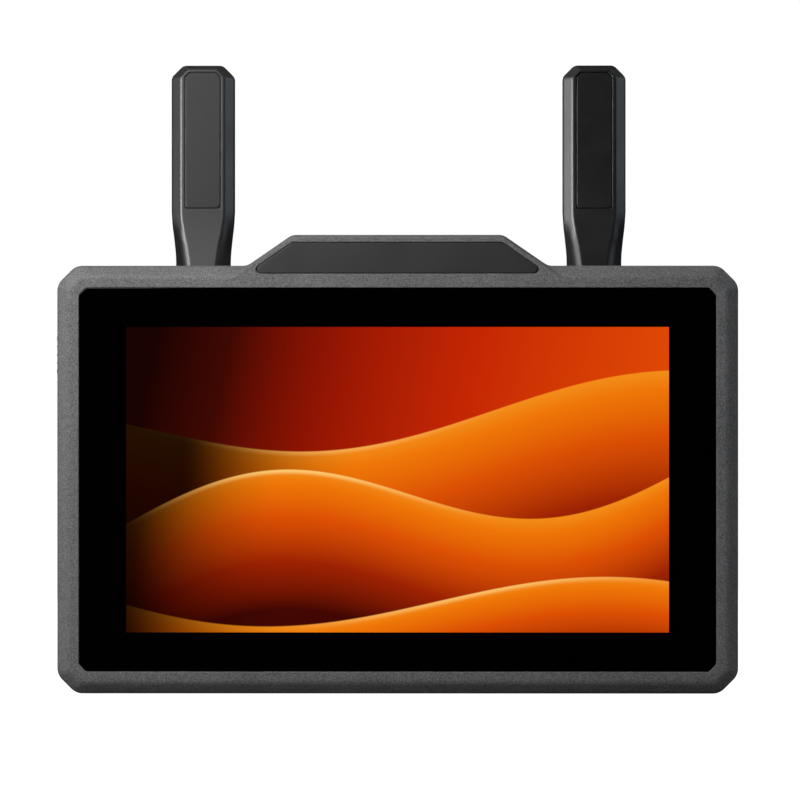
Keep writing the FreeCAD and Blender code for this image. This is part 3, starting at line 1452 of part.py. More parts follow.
def tube(points, radius):
    """A round lead along straight runs joined by tangent arcs."""
    runs = [points[i + 1] - points[i] for i in range(len(points) - 1)]
    edges = []
    start = points[0]
    for i in range(1, len(points) - 1):
        turn = runs[i - 1].getAngle(runs[i])
        shorter = min(runs[i - 1].Length, runs[i].Length)
        bend = 0.45 * shorter / math.tan(turn / 2)
        first, middle, last = rounding(points[i - 1], points[i], points[i + 1], bend)
        edges.append(Part.LineSegment(start, first).toShape())
        edges.append(Part.Arc(first, middle, last).toShape())
        start = last
    edges.append(Part.LineSegment(start, points[-1]).toShape())
    way = runs[0].normalize()
    section = Part.Wire(Part.makeCircle(radius, points[0], way))
    return Part.Wire(edges).makePipeShell([section], True, False)


def coax_lead():
    """From the radio board, up and back to the hollow hinge pin on the right-hand side."""
    pin_mouth = hump_half - HOUSING_WALL
    board_x = radio_board_half - BOARD_SCREW_INSET
    board_z = radio_board_bottom + RADIO_BOARD_HEIGHT / 2
    run = (FOLD_DEPTH - board_back) / 3
    points = [
        at(board_x, board_back, board_z),
        at(board_x, board_back + run, board_z),
        at(board_x, FOLD_DEPTH - run / 2, fold_z - run / 2),
        at(board_x + run / 2, FOLD_DEPTH, fold_z),
        at(pin_mouth + run, FOLD_DEPTH, fold_z),
    ]
    return tube(points, COAX_RADIUS)


def battery_leads():
    """Two wires from the contact block's stem to the main board."""
    z = BATTERY_PLATE_LOW + CONTACT_LOW + CONTACT_HEIGHT / 2
    rise = CONTACT_HEIGHT * 2
    stem_front = HUMP_DEPTH - CONTACT_STEM_LENGTH
    run = (stem_front - board_back) / 3
    wires = []
    for x in (-CONTACT_STEM_HALF / 2, CONTACT_STEM_HALF / 2):
        wires.append(tube([
            at(x, stem_front, z),
            at(x, stem_front - run, z),
            at(x, board_back + run, z + rise),
            at(x, board_back, z + rise),
        ], WIRE_RADIUS))
    return group(wires)


def fan_lead():
    """From the fan's corner down to the radio board's lower edge and on to the main board."""
    x = FAN_SIDE / 2 + 3 * WIRE_RADIUS
    low = main_board_top - BOARD_SCREW_INSET * 2
    fan_middle = (fan_front + fan_back) / 2
    fan_low = fan_z - FAN_SIDE / 2 + 3 * WIRE_RADIUS
    run = (fan_middle - board_back) / 3
    return tube([
        at(FAN_SIDE / 2, fan_middle, fan_low),
        at(x + run / 2, fan_middle, fan_low),
        at(x + run, fan_middle - run, fan_low - run),
        at(x + run, board_back + run, low),
        at(x + run, board_back, low),
    ], WIRE_RADIUS)


def ribbon(x, half, path):
    """A flat flex: path is (depth, z) corners, each leg straight along depth or height."""
    t = FLEX_THICKNESS / 2
    legs = []
    for (depth_a, z_a), (depth_b, z_b) in zip(path, path[1:]):
        legs.append(block(
            x - half, x + half, min(depth_a, depth_b) - t, max(depth_a, depth_b) + t,
            min(z_a, z_b) - t, max(z_a, z_b) + t))
    return joined(legs)


def display_flex_top():
    return MAIN_BOARD_BOTTOM + CONNECTOR_HEIGHT


def flex_connector(x, half, z):
    return block(
        x - half, x + half, board_back, board_back + CONNECTOR_THICKNESS, z, z + CONNECTOR_HEIGHT)


def flex_path(start_depth, start_z):
    """Down past the backlight, back through the chassis slot and up behind the main board."""
    past_light = body_middle - SCREEN_HEIGHT / 2 - BACKLIGHT_MARGIN - LEDGE_GAP / 2
    between = (chassis_back + board_front) / 2
    below_board = MAIN_BOARD_BOTTOM - FLEX_DROP
    landing = board_back + CONNECTOR_THICKNESS / 2
    return [
        (start_depth, start_z), (start_depth, past_light), (between, past_light),
        (between, below_board), (landing, below_board),
        (landing, display_flex_top() - FLEX_THICKNESS / 2),
    ]


def display_flex():
    low = body_middle - SCREEN_HEIGHT / 2 - LCD_MARGIN
    depth = glass_back + LCD_THICKNESS / 2
    return ribbon(0, DISPLAY_FLEX_HALF, flex_path(depth, low - FLEX_THICKNESS / 2))


def touch_flex():
    low = body_middle - SCREEN_HEIGHT / 2 - BACKLIGHT_MARGIN
    depth = backlight_back - BACKLIGHT_THICKNESS / 2
    return ribbon(-TOUCH_FLEX_X, TOUCH_FLEX_HALF, flex_path(depth, low - FLEX_THICKNESS / 2))


def board_flex():
    """Flat link between the side board and the main board, lying on both."""
    left = -board_side + SIDE_BOARD_WIDTH - BOARD_SCREW_INSET / 2
    right = main_board_left + BOARD_SCREW_INSET / 2
    low = MAIN_BOARD_BOTTOM + main_board_height / 2
    return block(
        left, right, board_back, board_back + FLEX_THICKNESS, low - BOARD_FLEX_HALF,
        low + BOARD_FLEX_HALF)


# Every node of the assembly by its name

def nodes():
    made = {
        "front_bezel": front_bezel(),
        "name_plate": name_plate(),
        "cover_glass": cover_glass(),
        "glass_tape": glass_tape(),
        "lcd_cell": lcd_cell(),
        "backlight_unit": backlight_unit(),
        "chassis_plate": chassis_plate(),
        "chassis_screws": chassis_screws(),
        "main_board": main_board(),
        "side_board": side_board(),
        "radio_board": radio_board(),
        "radio_shield": radio_shield(),
        "board_screws": board_screws(),
        "thermal_pad": thermal_pad(),
        "heat_sink": heat_sink(),
        "fan_frame": fan_frame(),
        "fan_rotor": fan_rotor(),
        "fan_screws": fan_screws(),
        "rear_housing": rear_housing(),
        "housing_screws": housing_screws(),
        "tripod_insert_bottom": tripod_insert(0, 1),
        "tripod_insert_top": tripod_insert(brow_top, -1),
        "hdmi_in_socket": hdmi_socket(hdmi_in_z),
        "hdmi_out_socket": hdmi_socket(hdmi_out_z),
        "usb_c_socket": usb_c_socket(),
        "headphone_jack": headphone_jack(),
        "dc_in_jack": dc_in_jack(),
        "power_slider": power_slider(),
        "switch_body": switch_body(),
        "battery_plate": battery_plate(),
        "battery_screws": battery_screws(),
        "battery_contacts": battery_contacts(),
        "battery_latch": battery_latch(),
        "latch_spring": latch_spring(),
        "battery_leads": battery_leads(),
        "fan_lead": fan_lead(),
        "display_flex": display_flex(),
        "touch_flex": touch_flex(),
        "board_flex": board_flex(),
    }
    right_hand = {
        "shell": antenna_shell(),
        "back": antenna_back(),
        "panel": antenna_panel(),
        "radiator": antenna_radiator(),
        "knuckle": antenna_knuckle(),
        "hinge_pin": hinge_pin(),
        "coax": coax_lead(),
    }
    for name, shape in right_hand.items():
        made["antenna_right_" + name] = shape
        made["antenna_left_" + name] = mirrored(shape)
    return made


def main():
    os.makedirs("parts", exist_ok=True)
    for name, shape in nodes().items():
        shape.exportStep(os.path.join("parts", name + ".step"))
        valid = shape.isValid() and all(solid.isClosed() for solid in shape.Solids)
        print(name, "solids", len(shape.Solids), "volume", round(shape.Volume, 1), "valid", valid)


main()
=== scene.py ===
import bmesh
import bpy
import json
import math
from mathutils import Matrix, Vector

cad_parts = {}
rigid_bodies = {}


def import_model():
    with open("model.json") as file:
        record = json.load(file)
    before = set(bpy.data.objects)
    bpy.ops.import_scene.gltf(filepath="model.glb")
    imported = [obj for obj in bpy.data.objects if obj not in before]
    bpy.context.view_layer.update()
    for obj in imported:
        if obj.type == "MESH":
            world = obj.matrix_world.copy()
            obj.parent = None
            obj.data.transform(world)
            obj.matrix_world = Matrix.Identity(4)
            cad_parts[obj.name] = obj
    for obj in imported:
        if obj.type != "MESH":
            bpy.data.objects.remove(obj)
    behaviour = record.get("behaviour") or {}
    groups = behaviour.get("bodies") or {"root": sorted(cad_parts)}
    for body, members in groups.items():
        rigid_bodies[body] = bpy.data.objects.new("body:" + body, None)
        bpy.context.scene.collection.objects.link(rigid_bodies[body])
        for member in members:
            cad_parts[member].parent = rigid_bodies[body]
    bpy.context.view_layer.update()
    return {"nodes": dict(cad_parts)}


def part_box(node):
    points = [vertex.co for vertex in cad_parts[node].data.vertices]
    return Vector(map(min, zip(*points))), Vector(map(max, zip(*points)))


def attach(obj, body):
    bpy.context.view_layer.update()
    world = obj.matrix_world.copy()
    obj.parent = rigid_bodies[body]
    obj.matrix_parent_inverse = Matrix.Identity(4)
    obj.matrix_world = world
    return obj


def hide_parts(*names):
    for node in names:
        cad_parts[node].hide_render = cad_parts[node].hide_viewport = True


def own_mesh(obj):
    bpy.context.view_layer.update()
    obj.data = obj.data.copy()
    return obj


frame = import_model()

scene = bpy.context.scene
nodes = frame["nodes"]
mm = 0.001


# Places and outlines. An outline is a closed loop of (x, z) in millimetres seen from the front,
# and depth is counted backwards from the frame's front plane.

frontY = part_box("front_bezel")[0].y


def at(x, depth, z):
    return Vector((x * mm, frontY + depth * mm, z * mm))


def roundedPath(points, radii, steps, closed=True):
    path = []
    count = len(points)
    for i, (point, radius) in enumerate(zip(points, radii)):
        here = Vector(point)
        if radius <= 0 or (not closed and i in (0, count - 1)):
            path.append(here)
            continue
        toBefore = (Vector(points[i - 1]) - here).normalized()
        toAfter = (Vector(points[(i + 1) % count]) - here).normalized()
        half = toBefore.angle(toAfter) / 2
        centre = here + (toBefore + toAfter).normalized() * (radius / math.sin(half))
        start = here + toBefore * (radius / math.tan(half)) - centre
        end = here + toAfter * (radius / math.tan(half)) - centre
        first = math.atan2(start.y, start.x)
        turn = math.atan2(end.y, end.x) - first
        turn = (turn + math.pi) % (2 * math.pi) - math.pi
        for k in range(steps + 1):
            angle = first + turn * k / steps
            path.append(centre + radius * Vector((math.cos(angle), math.sin(angle))))
    return path


def loopOf(corners, steps=6):
    return roundedPath([c[:2] for c in corners], [c[2] for c in corners], steps)


def bothSides(rightCorners):
    return rightCorners + [(-x, z, r) for x, z, r in reversed(rightCorners)]


# Mesh building

def addRing(bm, loop, depth):
    return [bm.verts.new(at(p.x, depth, p.y)) for p in loop]


def bridge(bm, rowA, rowB):
    count = len(rowA)
    for i in range(count):
        j = (i + 1) % count
        bm.faces.new((rowA[i], rowA[j], rowB[j], rowB[i]))


def bridgeAll(bm, rows):
    for rowA, rowB in zip(rows, rows[1:]):
        bridge(bm, rowA, rowB)


def ringEdges(bm, row):
    edges = []
    for i, vert in enumerate(row):
        other = row[(i + 1) % len(row)]
        edges.append(bm.edges.get((vert, other)) or bm.edges.new((vert, other)))
    return edges


def fillBetween(bm, *rows):
    edges = [edge for row in rows for edge in ringEdges(bm, row)]
    bmesh.ops.triangle_fill(bm, edges=edges, use_beauty=True, normal=(0, -1, 0))


# Rows of a rounded edge, from the face inwards. The sign of side says which way outline's value
# is shifted at the face.
def edgeRows(bm, outline, depth, edge, side, steps=3):
    rows = []
    for k in range(steps + 1):
        angle = math.pi / 2 * k / steps
        rows.append(addRing(
            bm, outline(side * edge * (1 - math.sin(angle))), depth + edge * (1 - math.cos(angle))))
    return rows


def closedSlab(bm, outline, front, back, edge, side):
    rows = edgeRows(bm, outline, front, edge, side)
    rows.append(addRing(bm, outline(0), back))
    bridgeAll(bm, rows)
    fillBetween(bm, rows[0])
    fillBetween(bm, rows[-1])


def objectFrom(name, bm):
    mesh = bpy.data.meshes.new(name)
    bm.to_mesh(mesh)
    bm.free()
    made = bpy.data.objects.new(name, mesh)
    scene.collection.objects.link(made)
    return made


joining = {"mergeDistance": 2e-7, "sharpAngle": 38}


def newPiece(name, bm, materials, body, replaced):
    bmesh.ops.remove_doubles(bm, verts=bm.verts, dist=joining["mergeDistance"])
    bmesh.ops.recalc_face_normals(bm, faces=bm.faces)
    limit = math.radians(joining["sharpAngle"])
    for edge in bm.edges:
        edge.smooth = len(edge.link_faces) != 2 or edge.calc_face_angle(0) < limit
    for face in bm.faces:
        face.smooth = True
    piece = objectFrom(name, bm)
    for material in materials:
        piece.data.materials.append(material)
    weighted = piece.modifiers.new("weightedNormals", "WEIGHTED_NORMAL")
    weighted.keep_sharp = True
    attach(piece, body)
    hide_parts(replaced)
    return piece


# Node helpers

def feed(tree, node, inputs):
    for key, value in inputs.items():
        if isinstance(value, bpy.types.NodeSocket):
            tree.links.new(value, node.inputs[key])
        else:
            node.inputs[key].default_value = value


def addNode(tree, kind, inputs=None, **settings):
    made = tree.nodes.new(kind)
    for key, value in settings.items():
        setattr(made, key, value)
    feed(tree, made, inputs or {})
    return made


def objectPlace(tree):
    return addNode(tree, "ShaderNodeTexCoord").outputs["Object"]


def calc(tree, operation, *values, clamp=False):
    made = addNode(tree, "ShaderNodeMath", dict(enumerate(values)), operation=operation)
    made.use_clamp = clamp
    return made.outputs[0]


def mixColour(tree, factor, first, second, blend="MIX"):
    made = addNode(tree, "ShaderNodeMix", {0: factor, 6: first, 7: second}, data_type="RGBA")
    made.blend_type = blend
    return made.outputs[2]


def remap(tree, value, fromLow, fromHigh, toLow=0.0, toHigh=1.0, smooth=False):
    made = addNode(
        tree, "ShaderNodeMapRange",
        {0: value, 1: fromLow, 2: fromHigh, 3: toLow, 4: toHigh})
    made.interpolation_type = "SMOOTHSTEP" if smooth else "LINEAR"
    return made.outputs[0]


noiseSpan = (0.3, 0.7)    # where most of a noise texture's values lie


def aroundZero(tree, noise):
    return remap(tree, noise, *noiseSpan, -1.0, 1.0)


def rampOf(tree, factor, stops):
    made = addNode(tree, "ShaderNodeValToRGB", {0: factor})
    ramp = made.color_ramp
    while len(ramp.elements) < len(stops):
        ramp.elements.new(0.5)
    for element, (place, colour) in zip(ramp.elements, stops):
        element.position = place
        element.color = (*colour, 1)
    return made.outputs[0]


def newGroup(name, inputs, outputs):
    tree = bpy.data.node_groups.new(name, "ShaderNodeTree")
    for title, value in inputs.items():
        socket = tree.interface.new_socket(title, in_out="INPUT", socket_type="NodeSocketFloat")
        socket.default_value = value
    for title in outputs:
        tree.interface.new_socket(title, in_out="OUTPUT", socket_type="NodeSocketFloat")
    return tree, tree.nodes.new("NodeGroupInput"), tree.nodes.new("NodeGroupOutput")


# Shader groups that several finishes share

grainPattern = {
    "pebbleDetail": 3.0, "pebbleRoughness": 0.55, "cellScale": 0.8, "cellSoftness": 0.6,
    "pebbleHeight": 0.6, "cellHeight": 0.4, "broadScale": 70.0, "broadDetail": 4.0,
    "broadRoughness": 0.6, "fineTone": 0.88, "broadTone": 0.12,
}
wearAndHighlightPattern = {
    "facingFrom": 0.995, "facingTo": 0.9, "patchScale": 260.0, "patchDetail": 5.0,
    "patchFrom": 0.35, "patchTo": 0.65, "leastWearAndHighlight": 0.35,
}
smearPattern = {"scale": 38.0, "detail": 5.0, "roughness": 0.65, "distortion": 0.8}
edgeSamples = 4


def makeMouldedGrain():
    pattern = grainPattern
    tree, given, put = newGroup(
        "mouldedGrain", {"Grain Size": 0.45, "Mottle": 0.12}, ["Height", "Tone"])
    place = objectPlace(tree)
    perMetre = calc(tree, "DIVIDE", 1 / mm, given.outputs["Grain Size"])
    pebble = addNode(tree, "ShaderNodeTexNoise", {
        "Vector": place, "Scale": perMetre, "Detail": pattern["pebbleDetail"],
        "Roughness": pattern["pebbleRoughness"]}).outputs["Fac"]
    cells = addNode(tree, "ShaderNodeTexVoronoi", {
        "Vector": place, "Scale": calc(tree, "MULTIPLY", perMetre, pattern["cellScale"]),
        "Smoothness": pattern["cellSoftness"]}, feature="SMOOTH_F1").outputs["Distance"]
    height = calc(
        tree, "ADD", calc(tree, "MULTIPLY", pebble, pattern["pebbleHeight"]),
        calc(tree, "MULTIPLY", cells, pattern["cellHeight"]))
    broad = addNode(tree, "ShaderNodeTexNoise", {
        "Vector": place, "Scale": pattern["broadScale"], "Detail": pattern["broadDetail"],
        "Roughness": pattern["broadRoughness"]}).outputs["Fac"]
    tone = calc(
        tree, "ADD", calc(tree, "MULTIPLY", aroundZero(tree, pebble), pattern["fineTone"]),
        calc(tree, "MULTIPLY", aroundZero(tree, broad), pattern["broadTone"]))
    tone = calc(tree, "MULTIPLY", tone, given.outputs["Mottle"])
    feed(tree, put, {"Height": height, "Tone": calc(tree, "ADD", 1.0, tone)})
    return tree


# A mask on every edge, broken up by noise: it stands for rubbed, worn edges and also for a painted
# edge highlight
def makeEdgeWearAndHighlight():
    pattern = wearAndHighlightPattern
    tree, given, put = newGroup("edgeWearAndHighlight", {"Radius": 0.0005, "Amount": 0.5}, ["Mask"])
    soft = addNode(
        tree, "ShaderNodeBevel", {"Radius": given.outputs["Radius"]}, samples=edgeSamples)
    flat = addNode(tree, "ShaderNodeNewGeometry").outputs["Normal"]
    facing = addNode(
        tree, "ShaderNodeVectorMath", {0: soft.outputs[0], 1: flat}, operation="DOT_PRODUCT")
    edge = remap(tree, facing.outputs["Value"], pattern["facingFrom"], pattern["facingTo"])
    noise = addNode(tree, "ShaderNodeTexNoise", {
        "Vector": objectPlace(tree), "Scale": pattern["patchScale"],
        "Detail": pattern["patchDetail"]}).outputs["Fac"]
    patches = remap(
        tree, noise, pattern["patchFrom"], pattern["patchTo"], pattern["leastWearAndHighlight"], 1.0)
    mask = calc(tree, "MULTIPLY", edge, patches)
    mask = calc(tree, "MULTIPLY", mask, given.outputs["Amount"], clamp=True)
    feed(tree, put, {"Mask": mask})
    return tree


def makeHandling():
    pattern = smearPattern
    tree, given, put = newGroup("handling", {"Base Roughness": 0.4, "Spread": 0.08}, ["Roughness"])
    smear = addNode(tree, "ShaderNodeTexNoise", {
        "Vector": objectPlace(tree), "Scale": pattern["scale"], "Detail": pattern["detail"],
        "Roughness": pattern["roughness"], "Distortion": pattern["distortion"]}).outputs["Fac"]
    spread = calc(tree, "MULTIPLY", aroundZero(tree, smear), given.outputs["Spread"])
    feed(tree, put, {"Roughness": calc(tree, "ADD", given.outputs["Base Roughness"], spread)})
    return tree


mouldedGrain = makeMouldedGrain()
edgeWearAndHighlight = makeEdgeWearAndHighlight()
handling = makeHandling()


def useGroup(tree, group, **values):
    made = tree.nodes.new("ShaderNodeGroup")
    made.node_tree = group
    for key, value in values.items():
        made.inputs[key.replace("_", " ")].default_value = value
    return made


def newMaterial(name):
    material = bpy.data.materials.new(name)
    material.use_nodes = True
    tree = material.node_tree
    return material, tree, tree.nodes["Principled BSDF"]


# Finishes. Grain is in millimetres, and colours are linear.

plasticFinishes = {
    "frameGrey": {
        "colour": (0.074, 0.074, 0.0755), "roughness": 0.62, "grain": 0.36,
        "bump": 0.75, "mottle": 0.75, "wearAndHighlight": 0.20},
    "housingGrey": {
        "colour": (0.060, 0.060, 0.0615), "soft": 0.5, "roughness": 0.72, "grain": 0.38,
        "bump": 0.65, "mottle": 0.60, "wearAndHighlight": 0.20},
    "antennaGrey": {
        "colour": (0.0085, 0.0085, 0.0090), "roughness": 0.40, "grain": 0.30,
        "bump": 0.06, "mottle": 0.08, "wearAndHighlight": 0.25},
    "trimBlack": {
        "colour": (0.0055, 0.0055, 0.0058), "gloss": 0.36, "roughness": 0.42, "grain": 0.25,
        "bump": 0.04, "mottle": 0.05, "wearAndHighlight": 0.4},
    "plateBlack": {
        "colour": (0.0165, 0.0165, 0.0168), "gloss": 0.38, "roughness": 0.42, "grain": 0.22,
        "bump": 0.06, "mottle": 0.06, "wearAndHighlight": 0.4},
    "knobBlack": {
        "colour": (0.022, 0.022, 0.023), "roughness": 0.45, "grain": 0.25,
        "bump": 0.10, "mottle": 0.08, "wearAndHighlight": 0.5},
    "partBlack": {
        "colour": (0.021, 0.021, 0.022), "roughness": 0.42, "grain": 0.30,
        "bump": 0.12, "mottle": 0.10, "wearAndHighlight": 0.3},
    "latchRed": {
        "colour": (0.22, 0.013, 0.009), "roughness": 0.42, "grain": 0.30,
        "bump": 0.08, "mottle": 0.06, "wearAndHighlight": 0.4},
    "whiteTray": {
        "colour": (0.72, 0.72, 0.70), "roughness": 0.50, "grain": 0.60,
        "bump": 0.05, "mottle": 0.03, "wearAndHighlight": 0.1},
    "foamBlack": {
        "colour": (0.012, 0.012, 0.012), "roughness": 0.85, "grain": 0.30,
        "bump": 0.35, "mottle": 0.20, "wearAndHighlight": 0.0},
    "cableBlack": {
        "colour": (0.014, 0.014, 0.014), "roughness": 0.48, "grain": 0.40,
        "bump": 0.06, "mottle": 0.06, "wearAndHighlight": 0.0},
}


plasticWork = {    # what all plastics share, with soft in millimetres and the rest in metres
    "gloss": 0.45, "soft": 0.2, "wearAndHighlightRadius": 0.0004, "spread": 0.05, "bumpDistance": 0.00016,
    "polishAndHighlight": 1.9, "polishSmooths": 0.12,
}


def makePlastic(name, look):
    material, tree, surface = newMaterial(name)
    look = {**plasticWork, **look}
    grain = useGroup(tree, mouldedGrain, Grain_Size=look["grain"], Mottle=look["mottle"])
    wearAndHighlight = useGroup(tree, edgeWearAndHighlight, Radius=look["wearAndHighlightRadius"], Amount=look["wearAndHighlight"])
    rough = useGroup(tree, handling, Base_Roughness=look["roughness"], Spread=look["spread"])
    toned = addNode(tree, "ShaderNodeHueSaturation", {
        "Value": grain.outputs["Tone"], "Color": (*look["colour"], 1)}).outputs[0]
    # Edges get a paler colour: partly worn polish, partly a painted highlight along the edges
    polishedAndHighlit = tuple(min(1.0, c * look["polishAndHighlight"]) for c in look["colour"])
    smoother = calc(tree, "MULTIPLY", wearAndHighlight.outputs["Mask"], look["polishSmooths"])
    soft = addNode(tree, "ShaderNodeBevel", {"Radius": look["soft"] * mm}, samples=edgeSamples)
    bump = addNode(tree, "ShaderNodeBump", {
        "Height": grain.outputs["Height"], "Strength": look["bump"],
        "Distance": look["bumpDistance"], "Normal": soft.outputs[0]})
    feed(tree, surface, {
        "Base Color": mixColour(tree, wearAndHighlight.outputs["Mask"], toned, (*polishedAndHighlit, 1)),
        "Roughness": calc(tree, "SUBTRACT", rough.outputs["Roughness"], smoother),
        "Normal": bump.outputs[0], "Specular IOR Level": look["gloss"]})
    return material


metalFinishes = {
    "brassTurned": {
        "colour": (0.44, 0.28, 0.10), "roughness": 0.50,
        "axis": "Z", "lines": 9000.0, "wearAndHighlight": 0.4},
    "steelBright": {
        "colour": (0.56, 0.56, 0.57), "roughness": 0.26,
        "axis": "X", "lines": 7000.0, "wearAndHighlight": 0.3},
    "screwBlack": {
        "colour": (0.045, 0.045, 0.048), "roughness": 0.34,
        "axis": "Y", "lines": 6000.0, "wearAndHighlight": 0.6},
    "castAluminium": {
        "colour": (0.56, 0.56, 0.58), "roughness": 0.42,
        "axis": "X", "lines": 2500.0, "wearAndHighlight": 0.3},
    "tinPlate": {
        "colour": (0.62, 0.61, 0.58), "roughness": 0.24,
        "axis": "Z", "lines": 5000.0, "wearAndHighlight": 0.3},
    "contactGold": {
        "colour": (0.80, 0.55, 0.20), "roughness": 0.22,
        "axis": "Z", "lines": 5000.0, "wearAndHighlight": 0.2},
}


metalWork = {    # what all metals share
    "wearAndHighlightRadius": 0.0003, "spread": 0.06, "bump": 0.12, "bumpDistance": 0.00004,
    "polishAndHighlight": 1.35, "polishAndHighlightAdds": 0.04, "lineDetail": 3.0, "streakDark": 0.88, "streakPale": 1.08,
}


def makeMetal(name, look):
    material, tree, surface = newMaterial(name)
    look = {**metalWork, **look}
    place = addNode(tree, "ShaderNodeSeparateXYZ", {0: objectPlace(tree)})
    along = calc(tree, "MULTIPLY", place.outputs[look["axis"]], look["lines"])
    lines = addNode(
        tree, "ShaderNodeTexNoise", {"W": along, "Scale": 1.0, "Detail": look["lineDetail"]},
        noise_dimensions="1D").outputs["Fac"]
    wearAndHighlight = useGroup(tree, edgeWearAndHighlight, Radius=look["wearAndHighlightRadius"], Amount=look["wearAndHighlight"])
    rough = useGroup(tree, handling, Base_Roughness=look["roughness"], Spread=look["spread"])
    streak = remap(tree, lines, *noiseSpan, look["streakDark"], look["streakPale"])
    toned = addNode(tree, "ShaderNodeHueSaturation", {
        "Value": streak, "Color": (*look["colour"], 1)}).outputs[0]
    # Edges get a brighter colour: partly worn polish, partly a painted highlight along the edges
    bright = tuple(min(1.0, c * look["polishAndHighlight"] + look["polishAndHighlightAdds"]) for c in look["colour"])
    bump = addNode(tree, "ShaderNodeBump", {
        "Height": lines, "Strength": look["bump"], "Distance": look["bumpDistance"]})
    feed(tree, surface, {
        "Base Color": mixColour(tree, wearAndHighlight.outputs["Mask"], toned, (*bright, 1)), "Metallic": 1.0,
        "Roughness": rough.outputs["Roughness"], "Normal": bump.outputs[0]})
    return material


board = {
    "ground": (0.006, 0.060, 0.024), "otherGround": (0.010, 0.080, 0.032),
    "track": (0.030, 0.150, 0.060), "tracksPerMetre": 160.0, "trackWidth": 0.012,
    "roughness": 0.32, "spread": 0.06, "bump": 0.1, "bumpDistance": 0.00005,
}


def makeBoardGreen():
    material, tree, surface = newMaterial("boardGreen")
    place = objectPlace(tree)
    tracks = addNode(tree, "ShaderNodeTexBrick", {
        "Vector": place, "Scale": board["tracksPerMetre"], "Mortar Size": board["trackWidth"],
        "Color1": (*board["ground"], 1), "Color2": (*board["otherGround"], 1),
        "Mortar": (*board["track"], 1)})
    rough = useGroup(tree, handling, Base_Roughness=board["roughness"], Spread=board["spread"])
    bump = addNode(tree, "ShaderNodeBump", {
        "Height": tracks.outputs["Fac"], "Strength": board["bump"],
        "Distance": board["bumpDistance"]})
    feed(tree, surface, {
        "Base Color": tracks.outputs["Color"], "Roughness": rough.outputs["Roughness"],
        "Normal": bump.outputs[0]})
    return material


flex = {
    "dark": (0.34, 0.10, 0.010), "pale": (0.50, 0.20, 0.030), "stripes": 420.0,
    "roughness": 0.30, "spread": 0.05,
}


def makeFlexAmber():
    material, tree, surface = newMaterial("flexAmber")
    place = objectPlace(tree)
    stripes = addNode(
        tree, "ShaderNodeTexWave", {"Vector": place, "Scale": flex["stripes"], "Distortion": 0.0},
        bands_direction="X").outputs["Fac"]
    rough = useGroup(tree, handling, Base_Roughness=flex["roughness"], Spread=flex["spread"])
    feed(tree, surface, {
        "Base Color": mixColour(tree, stripes, (*flex["dark"], 1), (*flex["pale"], 1)),
        "Roughness": rough.outputs["Roughness"]})
    return material


# The lit picture: soft dunes of red and amber, one behind the other

picture = {
    "width": 154.6, "height": 87.0, "middleZ": 61.0,     # lit area in millimetres
    "glassColour": (0.0002, 0.0002, 0.0002), "glassRoughness": 0.045, "glassSpread": 0.02,
    "glassGloss": 0.30,
    "sky": [
        (0.00, (0.010, 0.0006, 0.0004)), (0.14, (0.050, 0.0025, 0.0005)),
        (0.34, (0.30, 0.0075, 0.0006)), (0.60, (0.56, 0.020, 0.0008)),
        (1.00, (0.76, 0.070, 0.0012))],
    "dune": [
        (0.00, (0.90, 0.270, 0.010)), (0.10, (0.86, 0.185, 0.002)), (0.34, (0.72, 0.080, 0.0010)),
        (0.66, (0.34, 0.016, 0.0006)), (1.00, (0.055, 0.0020, 0.0004))],
    "crest": (1.0, 0.62, 0.17), "skyLean": -0.12, "duneEdge": 0.005, "darkest": 0.02,
    "crestReach": 0.42, "crestFrom": 0.003, "crestTo": 0.022, "frontFacing": -0.9,
    "dunes": [
        {"level": 0.66, "tilt": 0.10, "swing": 0.100, "waves": 0.80, "phase": 0.46,
         "fall": 0.62, "from": 0.10, "to": 0.44, "line": 0.45, "at": 0.34},
        {"level": 0.34, "tilt": 0.22, "swing": 0.135, "waves": 0.92, "phase": 0.02,
         "fall": 0.46, "from": 0.00, "to": 0.30, "line": 1.0, "at": 0.30},
        {"level": 0.16, "tilt": -0.10, "swing": 0.115, "waves": 0.70, "phase": 0.60,
         "fall": 0.34, "from": -0.02, "to": 0.34, "line": 0.8, "at": 0.66},
    ],
}


def addDune(tree, under, u, v, dune):
    turn = calc(tree, "MULTIPLY", u, 2 * math.pi * dune["waves"])
    turn = calc(tree, "ADD", turn, 2 * math.pi * dune["phase"])
    swing = calc(tree, "MULTIPLY", calc(tree, "SINE", turn), dune["swing"])
    slope = calc(tree, "ADD", calc(tree, "MULTIPLY", u, dune["tilt"]), dune["level"])
    below = calc(tree, "SUBTRACT", calc(tree, "ADD", slope, swing), v)
    inside = remap(tree, below, 0.0, picture["duneEdge"], smooth=True)
    shade = rampOf(tree, calc(tree, "DIVIDE", below, dune["fall"]), picture["dune"])
    light = remap(tree, u, dune["from"], dune["to"], picture["darkest"], 1.0, smooth=True)
    grey = addNode(tree, "ShaderNodeCombineColor", {0: light, 1: light, 2: light}).outputs[0]
    shade = mixColour(tree, 1.0, shade, grey, blend="MULTIPLY")
    away = calc(tree, "ABSOLUTE", calc(tree, "SUBTRACT", u, dune["at"]))
    near = remap(tree, away, 0.0, picture["crestReach"], 1.0, 0.0, smooth=True)
    rim = remap(tree, below, picture["crestFrom"], picture["crestTo"], 1.0, 0.0, smooth=True)
    rim = calc(tree, "MULTIPLY", rim, near)
    rim = calc(tree, "MULTIPLY", rim, calc(tree, "MULTIPLY", dune["line"], light), clamp=True)
    shade = mixColour(tree, rim, shade, (*picture["crest"], 1))
    return mixColour(tree, inside, under, shade)


